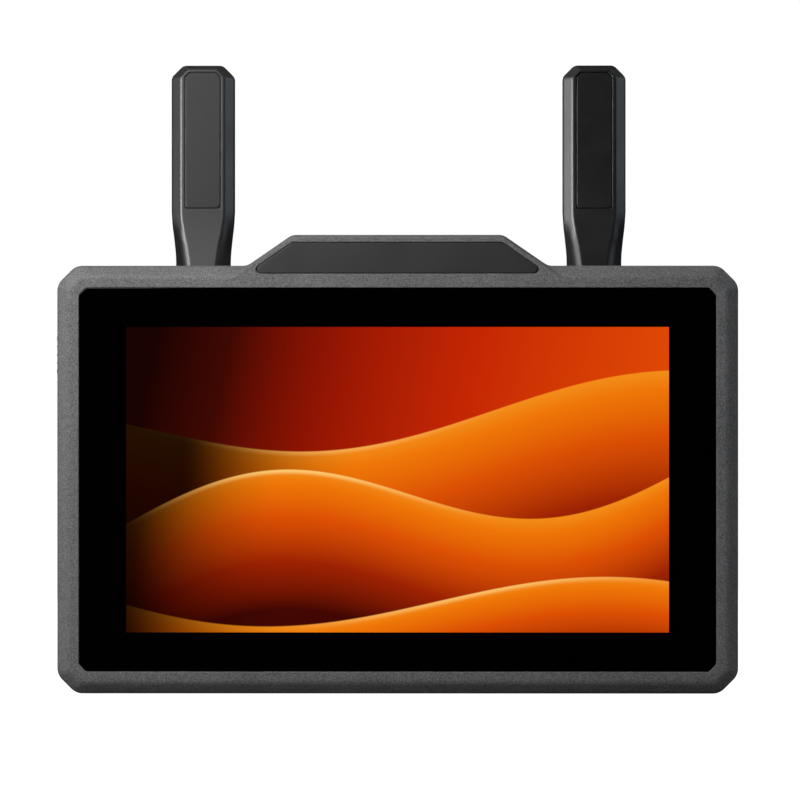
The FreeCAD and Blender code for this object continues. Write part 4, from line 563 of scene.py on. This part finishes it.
def makeScreenGlass():
    material, tree, surface = newMaterial("screenGlass")
    place = addNode(tree, "ShaderNodeSeparateXYZ", {0: objectPlace(tree)})
    x, z = place.outputs["X"], place.outputs["Z"]
    width, height, middle = (picture[key] * mm for key in ("width", "height", "middleZ"))
    fromMiddle = calc(tree, "SUBTRACT", z, middle)
    u = calc(tree, "ADD", calc(tree, "DIVIDE", x, width), 0.5)
    v = calc(tree, "ADD", calc(tree, "DIVIDE", fromMiddle, height), 0.5)
    lean = calc(tree, "MULTIPLY", calc(tree, "SUBTRACT", v, 0.5), picture["skyLean"])
    colour = rampOf(tree, calc(tree, "ADD", u, lean), picture["sky"])
    for dune in picture["dunes"]:
        colour = addDune(tree, colour, u, v, dune)
    acrossIn = calc(tree, "LESS_THAN", calc(tree, "ABSOLUTE", x), width / 2)
    heightIn = calc(tree, "LESS_THAN", calc(tree, "ABSOLUTE", fromMiddle), height / 2)
    normal = addNode(tree, "ShaderNodeNewGeometry").outputs["Normal"]
    towards = addNode(tree, "ShaderNodeSeparateXYZ", {0: normal}).outputs["Y"]
    facing = calc(tree, "LESS_THAN", towards, picture["frontFacing"])    # the back isn't lit
    lit = calc(tree, "MULTIPLY", calc(tree, "MULTIPLY", acrossIn, heightIn), facing)
    rough = useGroup(
        tree, handling, Base_Roughness=picture["glassRoughness"], Spread=picture["glassSpread"])
    feed(tree, surface, {
        "Base Color": (*picture["glassColour"], 1), "Specular IOR Level": picture["glassGloss"],
        "Roughness": rough.outputs["Roughness"], "Emission Strength": 1.0,
        "Emission Color": mixColour(tree, lit, (0, 0, 0, 1), colour)})
    return material


plastics = {name: makePlastic(name, look) for name, look in plasticFinishes.items()}
metals = {name: makeMetal(name, look) for name, look in metalFinishes.items()}
boardGreen = makeBoardGreen()
flexAmber = makeFlexAmber()
screenGlass = makeScreenGlass()

print("Finishes made:", len(plastics) + len(metals) + 3)


# Front frame with its brow

frameShape = {
    "bodyHeight": 122.0, "cornerCut": 5.3, "cornerRadius": 4.5,
    "bevelWidth": 3.1, "bevelDepth": 2.3,         # where the two flats of the bevel would meet
    "frontSoftness": 3.0, "sideSoftness": 2.0,    # radii that round the bevel off
    "browTopHalf": 30.1, "browBaseHalf": 42.9, "browBevelShare": 0.22, "browRadius": 4.0,
    "glassBorder": 6.3, "glassCut": 2.1, "glassCornerRadius": 1.0, "lipRadius": 0.22,
    "leadIn": 2.0,    # only gives the flat front its direction
    "bevelSteps": 8, "lipSteps": 4, "depth": 10.0, "backEdge": 0.25, "backRound": 0.3,
    "wall": 2.2, "ledgeFront": 2.1, "ledgeBack": 3.9,
    "openingHalf": 83.8, "openingHalfHeight": 49.9,
    "plateRim": 1.8, "plateDrop": 0.3, "plateHeight": 9.0, "platePocket": 1.0,
    "plateTipRadius": 1.25, "plateEdge": 0.14, "openingRadius": 1.0,
}
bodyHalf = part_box("front_bezel")[1].x / mm
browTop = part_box("front_bezel")[1].z / mm


def slantX(z, inset):    # the brow's slanted edge
    base, height = frameShape["browBaseHalf"], frameShape["bodyHeight"]
    run, rise = base - frameShape["browTopHalf"], browTop - height
    return base - (z - height) * run / rise - inset * (math.hypot(run, rise) / rise)


cutPerInset = 2 - math.sqrt(2)    # what a 45 degree cut loses as its outline moves in


def bodyCorners(inset, cut, radius):
    half, low, high = bodyHalf - inset, inset, frameShape["bodyHeight"] - inset
    points = ((half - cut, low), (half, low + cut), (half, high - cut), (half - cut, high))
    return [(x, z, radius) for x, z in points]


def frameLoop(inset, browInset):
    radius = max(frameShape["cornerRadius"] - inset, frameShape["cornerRadius"] / 4)
    top, brow = frameShape["bodyHeight"] - inset, browTop - browInset
    corners = bodyCorners(inset, frameShape["cornerCut"] - inset * cutPerInset, radius)
    corners.append((slantX(top, browInset), top, frameShape["browRadius"]))
    corners.append((slantX(brow, browInset), brow, frameShape["browRadius"] - browInset))
    return loopOf(bothSides(corners))


def glassLoop(inset):
    cut = frameShape["glassCut"] + (frameShape["glassBorder"] - inset) * cutPerInset
    return loopOf(bothSides(bodyCorners(inset, cut, frameShape["glassCornerRadius"])))


def plateLoop(gap):
    rim = frameShape["plateRim"] + gap
    top = browTop - frameShape["plateRim"] - frameShape["plateDrop"]
    low, high = top - frameShape["plateHeight"] + gap, top - gap
    return loopOf(bothSides([
        (slantX(low, rim), low, frameShape["plateTipRadius"] - gap / 2),
        (slantX(high, rim), high, frameShape["browRadius"] - rim + gap / 2)]))


def openingLoop():
    half, halfHeight = frameShape["openingHalf"], frameShape["openingHalfHeight"]
    middle, radius = frameShape["bodyHeight"] / 2, frameShape["openingRadius"]
    corners = bothSides([(half, middle - halfHeight, radius), (half, middle + halfHeight, radius)])
    return loopOf(corners, 3)


def makeFrame():
    shape = frameShape
    bm = bmesh.new()
    points = [
        (shape["bevelWidth"] + shape["leadIn"], 0), (shape["bevelWidth"], 0),
        (0, shape["bevelDepth"]), (0, shape["depth"]), (shape["backEdge"], shape["depth"])]
    radii = [0, shape["frontSoftness"], shape["sideSoftness"], 0, 0]
    profile = roundedPath(points, radii, shape["bevelSteps"], closed=False)[1:-2]
    browShare = shape["browBevelShare"]
    rows = [addRing(bm, frameLoop(point.x, point.x * browShare), point.y) for point in profile]
    edge, back, wall = shape["backEdge"], shape["depth"], shape["wall"]
    eased = edge * shape["backRound"]
    rim = (
        (0, back - edge), (eased, back - eased), (edge, back), (wall, back),
        (wall, shape["ledgeBack"]))
    rows += [addRing(bm, frameLoop(inset, inset), depth) for inset, depth in rim]
    bridgeAll(bm, rows)
    border = shape["glassBorder"]
    lip = shape["lipRadius"]
    lipRows = edgeRows(bm, lambda g: glassLoop(border + g), 0, lip, -1, shape["lipSteps"])
    lipRows.append(addRing(bm, glassLoop(border), shape["ledgeFront"]))
    bridgeAll(bm, lipRows)
    plateRows = edgeRows(bm, plateLoop, 0, shape["plateEdge"], -1)
    plateRows.append(addRing(bm, plateLoop(0), shape["platePocket"]))
    bridgeAll(bm, plateRows)
    fillBetween(bm, plateRows[-1])
    fillBetween(bm, rows[0], lipRows[0], plateRows[0])
    hole = openingLoop()
    opening = [addRing(bm, hole, depth) for depth in (shape["ledgeFront"], shape["ledgeBack"])]
    bridgeAll(bm, opening)
    fillBetween(bm, lipRows[-1], opening[0])
    fillBetween(bm, rows[-1], opening[1])
    newPiece("frame", bm, [plastics["frameGrey"]], "monitor_body", "front_bezel")


glassShape = {"gap": 0.15, "front": 0.5, "back": 1.6, "edge": 0.10}


def makeGlass():
    shape = glassShape
    bm = bmesh.new()
    outer = frameShape["glassBorder"] + shape["gap"]
    closedSlab(bm, lambda g: glassLoop(outer + g), shape["front"], shape["back"], shape["edge"], 1)
    newPiece("glass", bm, [screenGlass], "monitor_body", "cover_glass")


plateShape = {"gap": 0.15, "front": 0.2, "back": 1.0, "edge": 0.16}


def makePlate():
    shape = plateShape
    bm = bmesh.new()
    gap = shape["gap"]
    closedSlab(bm, lambda g: plateLoop(gap + g), shape["front"], shape["back"], shape["edge"], 1)
    newPiece("browPlate", bm, [plastics["plateBlack"]], "monitor_body", "name_plate")


makeFrame()
makeGlass()
makePlate()
print("Front done: frame, glass and plate")


# Antennas: a lofted front shell and back cover with rounded edges, and a flush panel

antennaShape = {
    "foldDepth": 28.8, "top": 180.2, "shoulder": 138.0, "foot": 118.9,
    "half": 9.1, "halfDepth": 5.0, "facet": 6.25, "side": 2.4, "bendOut": 0.9, "bendDrop": 0.82,
    "cut": 3.4, "facetCut": 2.2, "facetTopGap": 1.25,
    "facetReach": 0.48, "bendReach": 1.5, "sideReach": 0.60, "sideShare": 0.8, "creaseRoom": 1.05,
    "cornerReach": 1.0, "facetCornerReach": 0.55, "creaseSteps": 6, "bendSteps": 7, "sideSteps": 5,
    "neck": {    # shares of the measures above, from the shoulder down to the foot
        "at": (0.0, 0.12, 0.24, 0.37, 0.50, 0.68, 1.0),
        "half": (1.0, 0.985, 0.967, 0.935, 0.905, 0.872, 0.862),
        "halfDepth": (1.0, 1.005, 1.014, 1.04, 1.07, 1.13, 1.26),
        "facet": (1.0, 0.968, 0.891, 0.811, 0.71, 0.628, 0.50),
        "side": (1.0, 1.02, 0.81, 0.33, 0.17, 0.14, 0.11),
        "backSide": (1.0, 0.96, 0.92, 0.87, 0.83, 0.78, 0.75),
        "bendOut": (1.0, 1.0, 1.0, 1.68, 1.85, 1.90, 2.0),
        "bendDrop": (1.0, 0.93, 0.78, 0.82, 0.85, 0.89, 0.95),
        "facetReach": (1.0, 1.0, 0.90, 0.75, 0.73, 0.73, 0.73),
        "bendReach": (1.0, 1.0, 1.0, 1.0, 1.3, 1.5, 1.5)},
    "split": 1.0, "splitAt": 130.0, "seam": 0.12, "seamEdge": 0.10,
    "neckRows": 12, "coverRows": 5,
    "shaftRadius": 2.95, "shaftFoot": 114.2, "shaftRoot": 0.5, "shaftSteps": 32,
    "panelHalf": 5.0, "panelLow": 139.05, "panelTop": 178.0, "panelCut": 1.3, "panelRadius": 1.0,
    "panelDepth": 0.8, "groove": 0.25, "panelEdge": 0.14, "pocketEdge": 0.05,
}


# A corner eased off over reach on its way in and reachAfter on its way out
def softCorner(before, corner, after, reach, steps, reachAfter=None):
    before, corner, after = Vector(before), Vector(corner), Vector(after)
    start = corner + (before - corner).normalized() * reach
    end = corner + (after - corner).normalized() * (reachAfter or reach)
    return [
        start * (1 - t) ** 2 + corner * 2 * t * (1 - t) + end * t ** 2
        for t in (k / steps for k in range(steps + 1))]


def smoothShare(places, values, place):    # a smooth curve through all the values
    slopes = []
    for i in range(len(places)):
        a, b = max(i - 1, 0), min(i + 1, len(places) - 1)
        slopes.append((values[b] - values[a]) / (places[b] - places[a]))
    for i in range(len(places) - 1):
        if place <= places[i + 1]:
            break
    span = places[i + 1] - places[i]
    t = (place - places[i]) / span
    return ((2 * t ** 3 - 3 * t ** 2 + 1) * values[i] + (t ** 3 - 2 * t ** 2 + t) * span * slopes[i]
            + (3 * t ** 2 - 2 * t ** 3) * values[i + 1] + (t ** 3 - t ** 2) * span * slopes[i + 1])


def neckShares(z):
    neck = antennaShape["neck"]
    place = (antennaShape["shoulder"] - z) / (antennaShape["shoulder"] - antennaShape["foot"])
    place = min(max(place, 0), 1)
    return {key: smoothShare(neck["at"], neck[key], place) for key in neck if key != "at"}


def antennaSection(z):
    shape, share = antennaShape, neckShares(z)
    half, depth = shape["half"] * share["half"], shape["halfDepth"] * share["halfDepth"]
    facet = Vector((shape["facet"] * share["facet"], -depth))
    bend = facet + Vector([shape[key] * share[key] for key in ("bendOut", "bendDrop")])
    crease, curve = (shape[key] * share[key] for key in ("facetReach", "bendReach"))
    front, back = [], []
    for outline, sideShare in ((front, share["side"]), (back, share["backSide"])):
        side = Vector((half, -shape["side"] * sideShare))
        straight = (bend - facet).length - crease * shape["creaseRoom"]
        sideReach = min(shape["sideReach"], -side.y * shape["sideShare"])
        outline += softCorner((0, -depth), facet, bend, crease, shape["creaseSteps"])
        outline += softCorner(facet, bend, side, straight, shape["bendSteps"], curve)
        outline += softCorner(bend, side, (half, 0), sideReach, shape["sideSteps"])
    back = [Vector((p.x, -p.y)) for p in reversed(back)]
    edge, split = shape["seamEdge"], shape["split"]
    seam = [Vector(p) for p in ((half, split - edge), (half - edge, split), (half, split + edge))]
    return front + seam + back, len(front) + 1


def addAntennaCurves(bm, middleX, levels):
    shape = antennaShape
    sections = [antennaSection(z)[0] for z in levels]
    blade = antennaSection(shape["shoulder"])[0]
    full = shape["half"] - shape["facet"]
    curves = []
    for j, point in enumerate(blade):
        inset = (shape["half"] - point.x) / full
        top = shape["top"] - shape["facetTopGap"] * inset
        cut = shape["cut"] + (shape["facetCut"] - shape["cut"]) * inset
        reach = shape["cornerReach"] + (shape["facetCornerReach"] - shape["cornerReach"]) * inset
        low, high = (point.x, top - cut), (point.x - cut, top)
        right = [(section[j].x, section[j].y, z) for section, z in zip(sections, levels)]
        corner = softCorner((point.x, shape["shoulder"]), low, high, reach, shape["sideSteps"])
        corner += softCorner(low, high, (0, top), reach, shape["sideSteps"])
        right += [(c.x, point.y, c.y) for c in corner]
        whole = [(-x, d, z) for x, d, z in right] + right[::-1]
        curves.append([
            bm.verts.new(at(middleX + x, shape["foldDepth"] + d, z)) for x, d, z in whole])
    return curves


def strip(bm, curveA, curveB, first=0, last=None):
    count = len(curveA) if last is None else last
    for i in range(first, count - 1):
        bm.faces.new((curveA[i], curveA[i + 1], curveB[i + 1], curveB[i]))


def panelLoop(middleX, grow):
    shape = antennaShape
    half, top = shape["panelHalf"] + grow, shape["panelTop"] + grow
    corners = bothSides([
        (half, shape["panelLow"] - grow, shape["panelRadius"]),
        (half, top - shape["panelCut"], shape["panelRadius"] / 2),
        (half - shape["panelCut"], top, shape["panelRadius"] / 2)])
    return loopOf([(middleX + x, z, r) for x, z, r in corners])


def paddlePiece(name, bm, finish, side, node):
    newPiece(name + side, bm, [plastics[finish]], "antenna_%s_paddle" % side,
             "antenna_%s_%s" % (side, node))


def makeAntennaShell(side, middleX):
    shape = antennaShape
    bm = bmesh.new()
    neck = shape["shoulder"] - shape["foot"]
    levels = {shape["foot"] + neck * k / shape["neckRows"] for k in range(shape["neckRows"])}
    levels = sorted(levels | {shape["splitAt"], shape["shoulder"]})
    splitLevel = levels.index(shape["splitAt"])
    curves = addAntennaCurves(bm, middleX, levels)
    split, count = antennaSection(shape["shoulder"])[1], len(curves[0])
    for curve in curves[split + 1:]:
        for vert in curve[splitLevel + 1:count - splitLevel - 1]:    # the cover takes this part
            bm.verts.remove(vert)
    for j in range(len(curves) - 1):
        if j < split:
            strip(bm, curves[j], curves[j + 1])
        else:
            strip(bm, curves[j], curves[j + 1], 0, splitLevel + 1)
            strip(bm, curves[j], curves[j + 1], count - splitLevel - 1)
    for end, last in ((curves[0], len(levels) - 1), (curves[-1], splitLevel)):
        for i in range(last):
            bm.faces.new((end[i], end[i + 1], end[count - 2 - i], end[count - 1 - i]))
    bm.faces.new([c[0] for c in curves] + [c[-1] for c in reversed(curves)])
    behind, mirrored = curves[split:], count - 1 - splitLevel
    bm.faces.new([c[splitLevel] for c in behind] + [c[mirrored] for c in reversed(behind)])
    bm.faces.new(curves[split][splitLevel:count - splitLevel])
    facetEdge = curves[0][len(levels) - 1:count - len(levels) + 1]
    facetDepth = shape["foldDepth"] - shape["halfDepth"]
    groove, edge = shape["groove"], shape["pocketEdge"]
    pocket = edgeRows(bm, lambda g: panelLoop(middleX, groove + g), facetDepth, edge, 1)
    pocket.append(addRing(bm, panelLoop(middleX, groove), facetDepth + shape["panelDepth"]))
    bridgeAll(bm, pocket)
    fillBetween(bm, pocket[-1])
    fillBetween(bm, facetEdge, pocket[0])
    shaft, radius, steps = [], shape["shaftRadius"], shape["shaftSteps"]
    turns = [2 * math.pi * k / steps for k in range(steps)]
    ring = [(radius * math.cos(turn), radius * math.sin(turn)) for turn in turns]
    for height in (shape["foot"] + shape["shaftRoot"], shape["shaftFoot"]):
        shaft.append([
            bm.verts.new(at(middleX + x, shape["foldDepth"] + d, height)) for x, d in ring])
    bridgeAll(bm, shaft)
    bm.faces.new(shaft[0])
    bm.faces.new(shaft[1])
    paddlePiece("antennaShell_", bm, "antennaGrey", side, "shell")


def makeAntennaCover(side, middleX):
    shape = antennaShape
    bm = bmesh.new()
    start = shape["splitAt"] + shape["seam"]
    rows = shape["coverRows"]
    levels = [start + (shape["shoulder"] - start) * k / rows for k in range(rows + 1)]
    curves = addAntennaCurves(bm, middleX, levels)
    split, count = antennaSection(shape["shoulder"])[1], len(curves[0])
    for curve in curves[:split]:
        for vert in curve:
            bm.verts.remove(vert)
    kept = curves[split:]
    for curveA, curveB in zip(kept, kept[1:]):
        strip(bm, curveA, curveB)
    bm.faces.new(kept[0])
    end = kept[-1]
    for i in range(len(levels) - 1):
        bm.faces.new((end[i], end[i + 1], end[count - 2 - i], end[count - 1 - i]))
    bm.faces.new(end[len(levels) - 1:count - len(levels) + 1])
    bm.faces.new([c[0] for c in kept] + [c[-1] for c in reversed(kept)])
    paddlePiece("antennaCover_", bm, "antennaGrey", side, "back")


def makeAntennaPanel(side, middleX):
    shape = antennaShape
    bm = bmesh.new()
    front = shape["foldDepth"] - shape["halfDepth"]
    back = front + shape["panelDepth"]
    closedSlab(bm, lambda g: panelLoop(middleX, g), front, back, shape["panelEdge"], -1)
    paddlePiece("antennaPanel_", bm, "trimBlack", side, "panel")


for side in ("left", "right"):
    low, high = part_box("antenna_%s_panel" % side)
    middleX = (low.x + high.x) / 2 / mm
    makeAntennaShell(side, middleX)
    makeAntennaCover(side, middleX)
    makeAntennaPanel(side, middleX)
print("Antennas done: two shells, covers and panels")


# Pieces that keep the CAD form and get softly rounded edges

softening = {
    "mergeDistance": 2e-6, "flatAngle": 0.4, "segments": 3,
    "fromAngle": 24, "squareAngle": 65,    # degrees: edges below the first stay sharp
    "ridgeDrop": 0.45,    # how much lower the slider's ridges stand outside the body, as a share
}


def roundEdges(bm, width, squareShare):
    weights = bm.edges.layers.float.new("bevel_weight_edge")
    for edge in bm.edges:
        angle = math.degrees(edge.calc_face_angle(0)) if len(edge.link_faces) == 2 else 0
        share = 1 if angle < softening["squareAngle"] else squareShare
        edge[weights] = 0 if angle < softening["fromAngle"] else share
    rough = objectFrom("roughShape", bm)
    bevel = rough.modifiers.new("edges", "BEVEL")
    bevel.limit_method = "WEIGHT"
    bevel.width = width * mm
    bevel.segments = softening["segments"]
    finished = rough.evaluated_get(bpy.context.evaluated_depsgraph_get())
    made = bpy.data.meshes.new_from_object(finished)
    bpy.data.objects.remove(rough)
    rounded = bmesh.new()
    rounded.from_mesh(made)
    return rounded


def softCopy(nodeName, width, squareShare, material, body, slotName):
    bm = bmesh.new()
    bm.from_mesh(nodes[nodeName].data)
    if nodeName == "power_slider":
        for vert in bm.verts:
            vert.co.x += max(0, -bodyHalf * mm - vert.co.x) * softening["ridgeDrop"]
    bmesh.ops.remove_doubles(bm, verts=bm.verts, dist=softening["mergeDistance"])
    bmesh.ops.dissolve_limit(
        bm, angle_limit=math.radians(softening["flatAngle"]), verts=bm.verts, edges=bm.edges,
        use_dissolve_boundaries=False)
    rounded = roundEdges(bm, width, squareShare)
    newPiece(nodeName + "_soft", rounded, [material], body, nodeName)


softEdges = {    # node: (edge width in millimetres, share for square edges, finish, body, slot)
    "rear_housing": (0.50, 0.45, plastics["housingGrey"], "monitor_body", "housing"),
    "battery_plate": (0.30, 0.6, plastics["partBlack"], "monitor_body", "black_plastic"),
    "power_slider": (0.15, 1.0, plastics["knobBlack"], "power_slider", "knob"),
    "battery_latch": (0.25, 1.0, plastics["latchRed"], "battery_latch", "latch"),
    "headphone_jack": (0.10, 1.0, plastics["partBlack"], "monitor_body", "black_plastic"),
    "dc_in_jack": (0.10, 1.0, plastics["partBlack"], "monitor_body", "black_plastic"),
    "fan_frame": (0.15, 1.0, plastics["partBlack"], "monitor_body", "black_plastic"),
}
for side in ("left", "right"):
    knuckle = "antenna_%s_knuckle" % side
    softEdges[knuckle] = (0.30, 1.0, plastics["antennaGrey"], knuckle, "antenna")
for nodeName in ("hdmi_in_socket", "hdmi_out_socket", "usb_c_socket"):
    softEdges[nodeName] = (0.08, 1.0, metals["tinPlate"], "monitor_body", "tin")
for nodeName in ("tripod_insert_bottom", "tripod_insert_top"):
    softEdges[nodeName] = (0.20, 1.0, metals["brassTurned"], "monitor_body", "brass")
for nodeName, settings in softEdges.items():
    softCopy(nodeName, *settings)
print("Soft-edged pieces done:", len(softEdges))


# The latch's coil spring, with a mesh of its own

coil = bmesh.new()
coil.from_mesh(nodes["latch_spring"].data)
spring = newPiece(
    "latchCoil", coil, [metals["steelBright"]], "monitor_body", "latch_spring")
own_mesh(spring)


# The battery contacts' blades stand on a plastic block

block = {"height": 6.5, "clear": 0.0001, "plastic": "partBlack", "blades": "contactGold"}
contacts = bmesh.new()
contacts.from_mesh(nodes["battery_contacts"].data)
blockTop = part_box("battery_contacts")[0].z + block["height"] * mm
for face in contacts.faces:
    face.material_index = int(face.calc_center_median().z > blockTop + block["clear"])
newPiece("contactBlock", contacts, [plastics[block["plastic"]], metals[block["blades"]]],
         "monitor_body", "battery_contacts")


# CAD nodes that stay as they are, each with its finish

keptNodes = {
    "glass_tape": plastics["foamBlack"], "thermal_pad": plastics["foamBlack"],
    "lcd_cell": plastics["partBlack"], "backlight_unit": plastics["whiteTray"],
    "chassis_plate": metals["castAluminium"], "heat_sink": metals["castAluminium"],
    "chassis_screws": metals["screwBlack"], "board_screws": metals["screwBlack"],
    "fan_screws": metals["screwBlack"], "housing_screws": metals["screwBlack"],
    "battery_screws": metals["screwBlack"], "main_board": boardGreen, "side_board": boardGreen,
    "radio_board": boardGreen, "radio_shield": metals["tinPlate"],
    "fan_rotor": plastics["partBlack"], "switch_body": plastics["partBlack"],
    "battery_leads": plastics["cableBlack"], "fan_lead": plastics["cableBlack"],
    "display_flex": flexAmber, "touch_flex": flexAmber, "board_flex": flexAmber,
}
for side in ("left", "right"):
    keptNodes["antenna_%s_radiator" % side] = boardGreen
    keptNodes["antenna_%s_hinge_pin" % side] = metals["steelBright"]
    keptNodes["antenna_%s_coax" % side] = plastics["cableBlack"]
for nodeName, material in keptNodes.items():
    mesh = nodes[nodeName].data
    mesh.materials.clear()
    mesh.materials.append(material)
print("Kept nodes finished:", len(keptNodes))


# Floor, light and camera

white, cool = (1.0, 1.0, 1.0), (0.78, 0.88, 1.0)
studio = {
    "floorGlow": 1.0, "floorColour": 0.28, "floorRadius": 6.0, "floorSteps": 96,
    "floorDrop": 0.0003, "skyGlow": 1.02, "fill": 0.13, "mirrorFill": 0.35,
    "mirroredRoom": (    # axis, from and to along it, and the brightness at both
        ("Y", -0.94, -0.74, 0.02, 1.0), ("Y", 0.15, 0.70, 1.0, 0.10),
        ("Z", -0.05, 0.35, 0.12, 1.0)),
    "lights": {    # place, size, power, colour, whether it lights or is mirrored, and on what
        "keyLight": ((-0.16, -0.26, 0.27), 0.19, 1.56, white, True, True, "others"),
        "leftKey": ((-0.16, -0.26, 0.27), 0.36, 1.42, white, True, True, "leftAntenna"),
        "rightKey": ((-0.16, -0.26, 0.27), 0.30, 0.06, white, True, True, "rightAntenna"),
        "rimLight": ((0.50, -0.08, 0.24), 0.22, 0.34, cool, True, True, "others"),
        "leftRim": ((0.50, -0.08, 0.24), 0.22, 0.64, cool, True, True, "leftAntenna"),
        "rightRim": ((0.50, -0.08, 0.24), 0.22, 0.40, cool, True, True, "rightAntenna"),
        "sideLight": ((-0.50, -0.16, 0.22), 0.20, 1.05, white, True, True, "others"),
        "leftBevel": ((-0.50, -0.12, 0.22), 0.26, 0.18, white, True, True, "leftAntenna"),
        "rightBevel": ((-0.50, -0.10, 0.22), 0.26, 0.92, white, True, True, "rightAntenna"),
        "leftGlint": ((-0.46, -0.36, 0.10), 0.30, 6.40, white, False, True, "leftAntenna"),
        "rightGlint": ((-0.42, -0.31, 0.03), 0.26, 11.50, white, False, True, "rightAntenna"),
        "topLight": ((-0.22, 0.02, 0.74), 0.40, 0.50, white, True, True, "all"),
        "backLight": ((0.55, 0.50, 0.85), 0.50, 8.00, white, True, False, "all"),
        "backFill": ((-0.45, 0.75, 0.28), 0.60, 5.00, white, True, False, "all"),
    },
    "aim": (0.0, -0.01, 0.08),
    "cameraPlace": (0.0247, -2.024, 0.0837), "cameraAim": (0.00074, -0.024, 0.0837), "lens": 316.1,
    "filmWidth": 36.0, "farthest": 50.0,
}


def makeFloor():
    bm = bmesh.new()
    bmesh.ops.create_circle(
        bm, cap_ends=True, segments=studio["floorSteps"], radius=studio["floorRadius"])
    floor = objectFrom("floor", bm)
    floor.location.z = -studio["floorDrop"]
    floor.visible_glossy = False
    material = bpy.data.materials.new("floorPale")
    material.use_nodes = True
    tree = material.node_tree
    tree.nodes.clear()
    tone = studio["floorColour"]
    diffuse = addNode(tree, "ShaderNodeBsdfDiffuse", {"Color": (tone, tone, tone, 1)})
    toCamera = addNode(tree, "ShaderNodeLightPath").outputs["Is Camera Ray"]
    strength = calc(tree, "MULTIPLY", toCamera, studio["floorGlow"])
    glow = addNode(tree, "ShaderNodeEmission", {"Strength": strength})
    both = addNode(tree, "ShaderNodeAddShader", {0: diffuse.outputs[0], 1: glow.outputs[0]})
    addNode(tree, "ShaderNodeOutputMaterial", {0: both.outputs[0]})
    floor.data.materials.append(material)


def makeSky():
    world = bpy.data.worlds.new("studioSky")
    world.use_nodes = True
    scene.world = world
    tree = world.node_tree
    path = addNode(tree, "ShaderNodeLightPath")
    # Reflections see a darker room in front, behind and below
    generated = addNode(tree, "ShaderNodeTexCoord").outputs["Generated"]
    way = addNode(tree, "ShaderNodeSeparateXYZ", {0: generated})
    room = studio["mirrorFill"]
    for axis, *limits in studio["mirroredRoom"]:
        room = calc(tree, "MULTIPLY", room, remap(tree, way.outputs[axis], *limits, smooth=True))
    seen = remap(tree, path.outputs["Is Glossy Ray"], 0.0, 1.0, studio["fill"], room)
    strength = remap(tree, path.outputs["Is Camera Ray"], 0.0, 1.0, seen, studio["skyGlow"])
    feed(tree, tree.nodes["Background"], {"Color": (1, 1, 1, 1), "Strength": strength})


def pieceGroups():
    names = ("antennas", "leftAntenna", "rightAntenna", "others")
    groups = {name: bpy.data.collections.new(name) for name in names}
    for piece in scene.collection.all_objects:
        if piece.name.startswith("antenna"):
            groups["antennas"].objects.link(piece)
            groups["leftAntenna" if "left" in piece.name else "rightAntenna"].objects.link(piece)
        else:
            groups["others"].objects.link(piece)
    return groups


def turnTowards(place, aim):
    return (Vector(aim) - Vector(place)).to_track_quat("-Z", "Y").to_euler()


def addLight(name, place, size, power, colour, lights, mirrored, lit):
    data = bpy.data.lights.new(name, "AREA")
    data.size = size
    data.energy = power
    data.color = colour
    light = bpy.data.objects.new(name, data)
    light.location = place
    light.rotation_euler = turnTowards(place, studio["aim"])
    light.visible_camera = False
    light.visible_diffuse = lights
    light.visible_glossy = mirrored
    if lit in litPieces:
        light.light_linking.receiver_collection = litPieces[lit]
        if lit != "others":    # the frame casts no shadow of these on the antennas
            light.light_linking.blocker_collection = litPieces["antennas"]
    scene.collection.objects.link(light)


def addCamera():
    data = bpy.data.cameras.new("camera")
    data.lens = studio["lens"]
    data.sensor_fit = "HORIZONTAL"
    data.sensor_width = studio["filmWidth"]
    data.clip_end = studio["farthest"]
    camera = bpy.data.objects.new("camera", data)
    camera.location = studio["cameraPlace"]
    camera.rotation_euler = turnTowards(studio["cameraPlace"], studio["cameraAim"])
    scene.collection.objects.link(camera)
    scene.camera = camera


makeFloor()
makeSky()
litPieces = pieceGroups()    # the glossy antennas have lights of their own
for name, settings in studio["lights"].items():
    addLight(name, *settings)
addCamera()
scene.view_settings.view_transform = "Standard"
print("Studio ready")
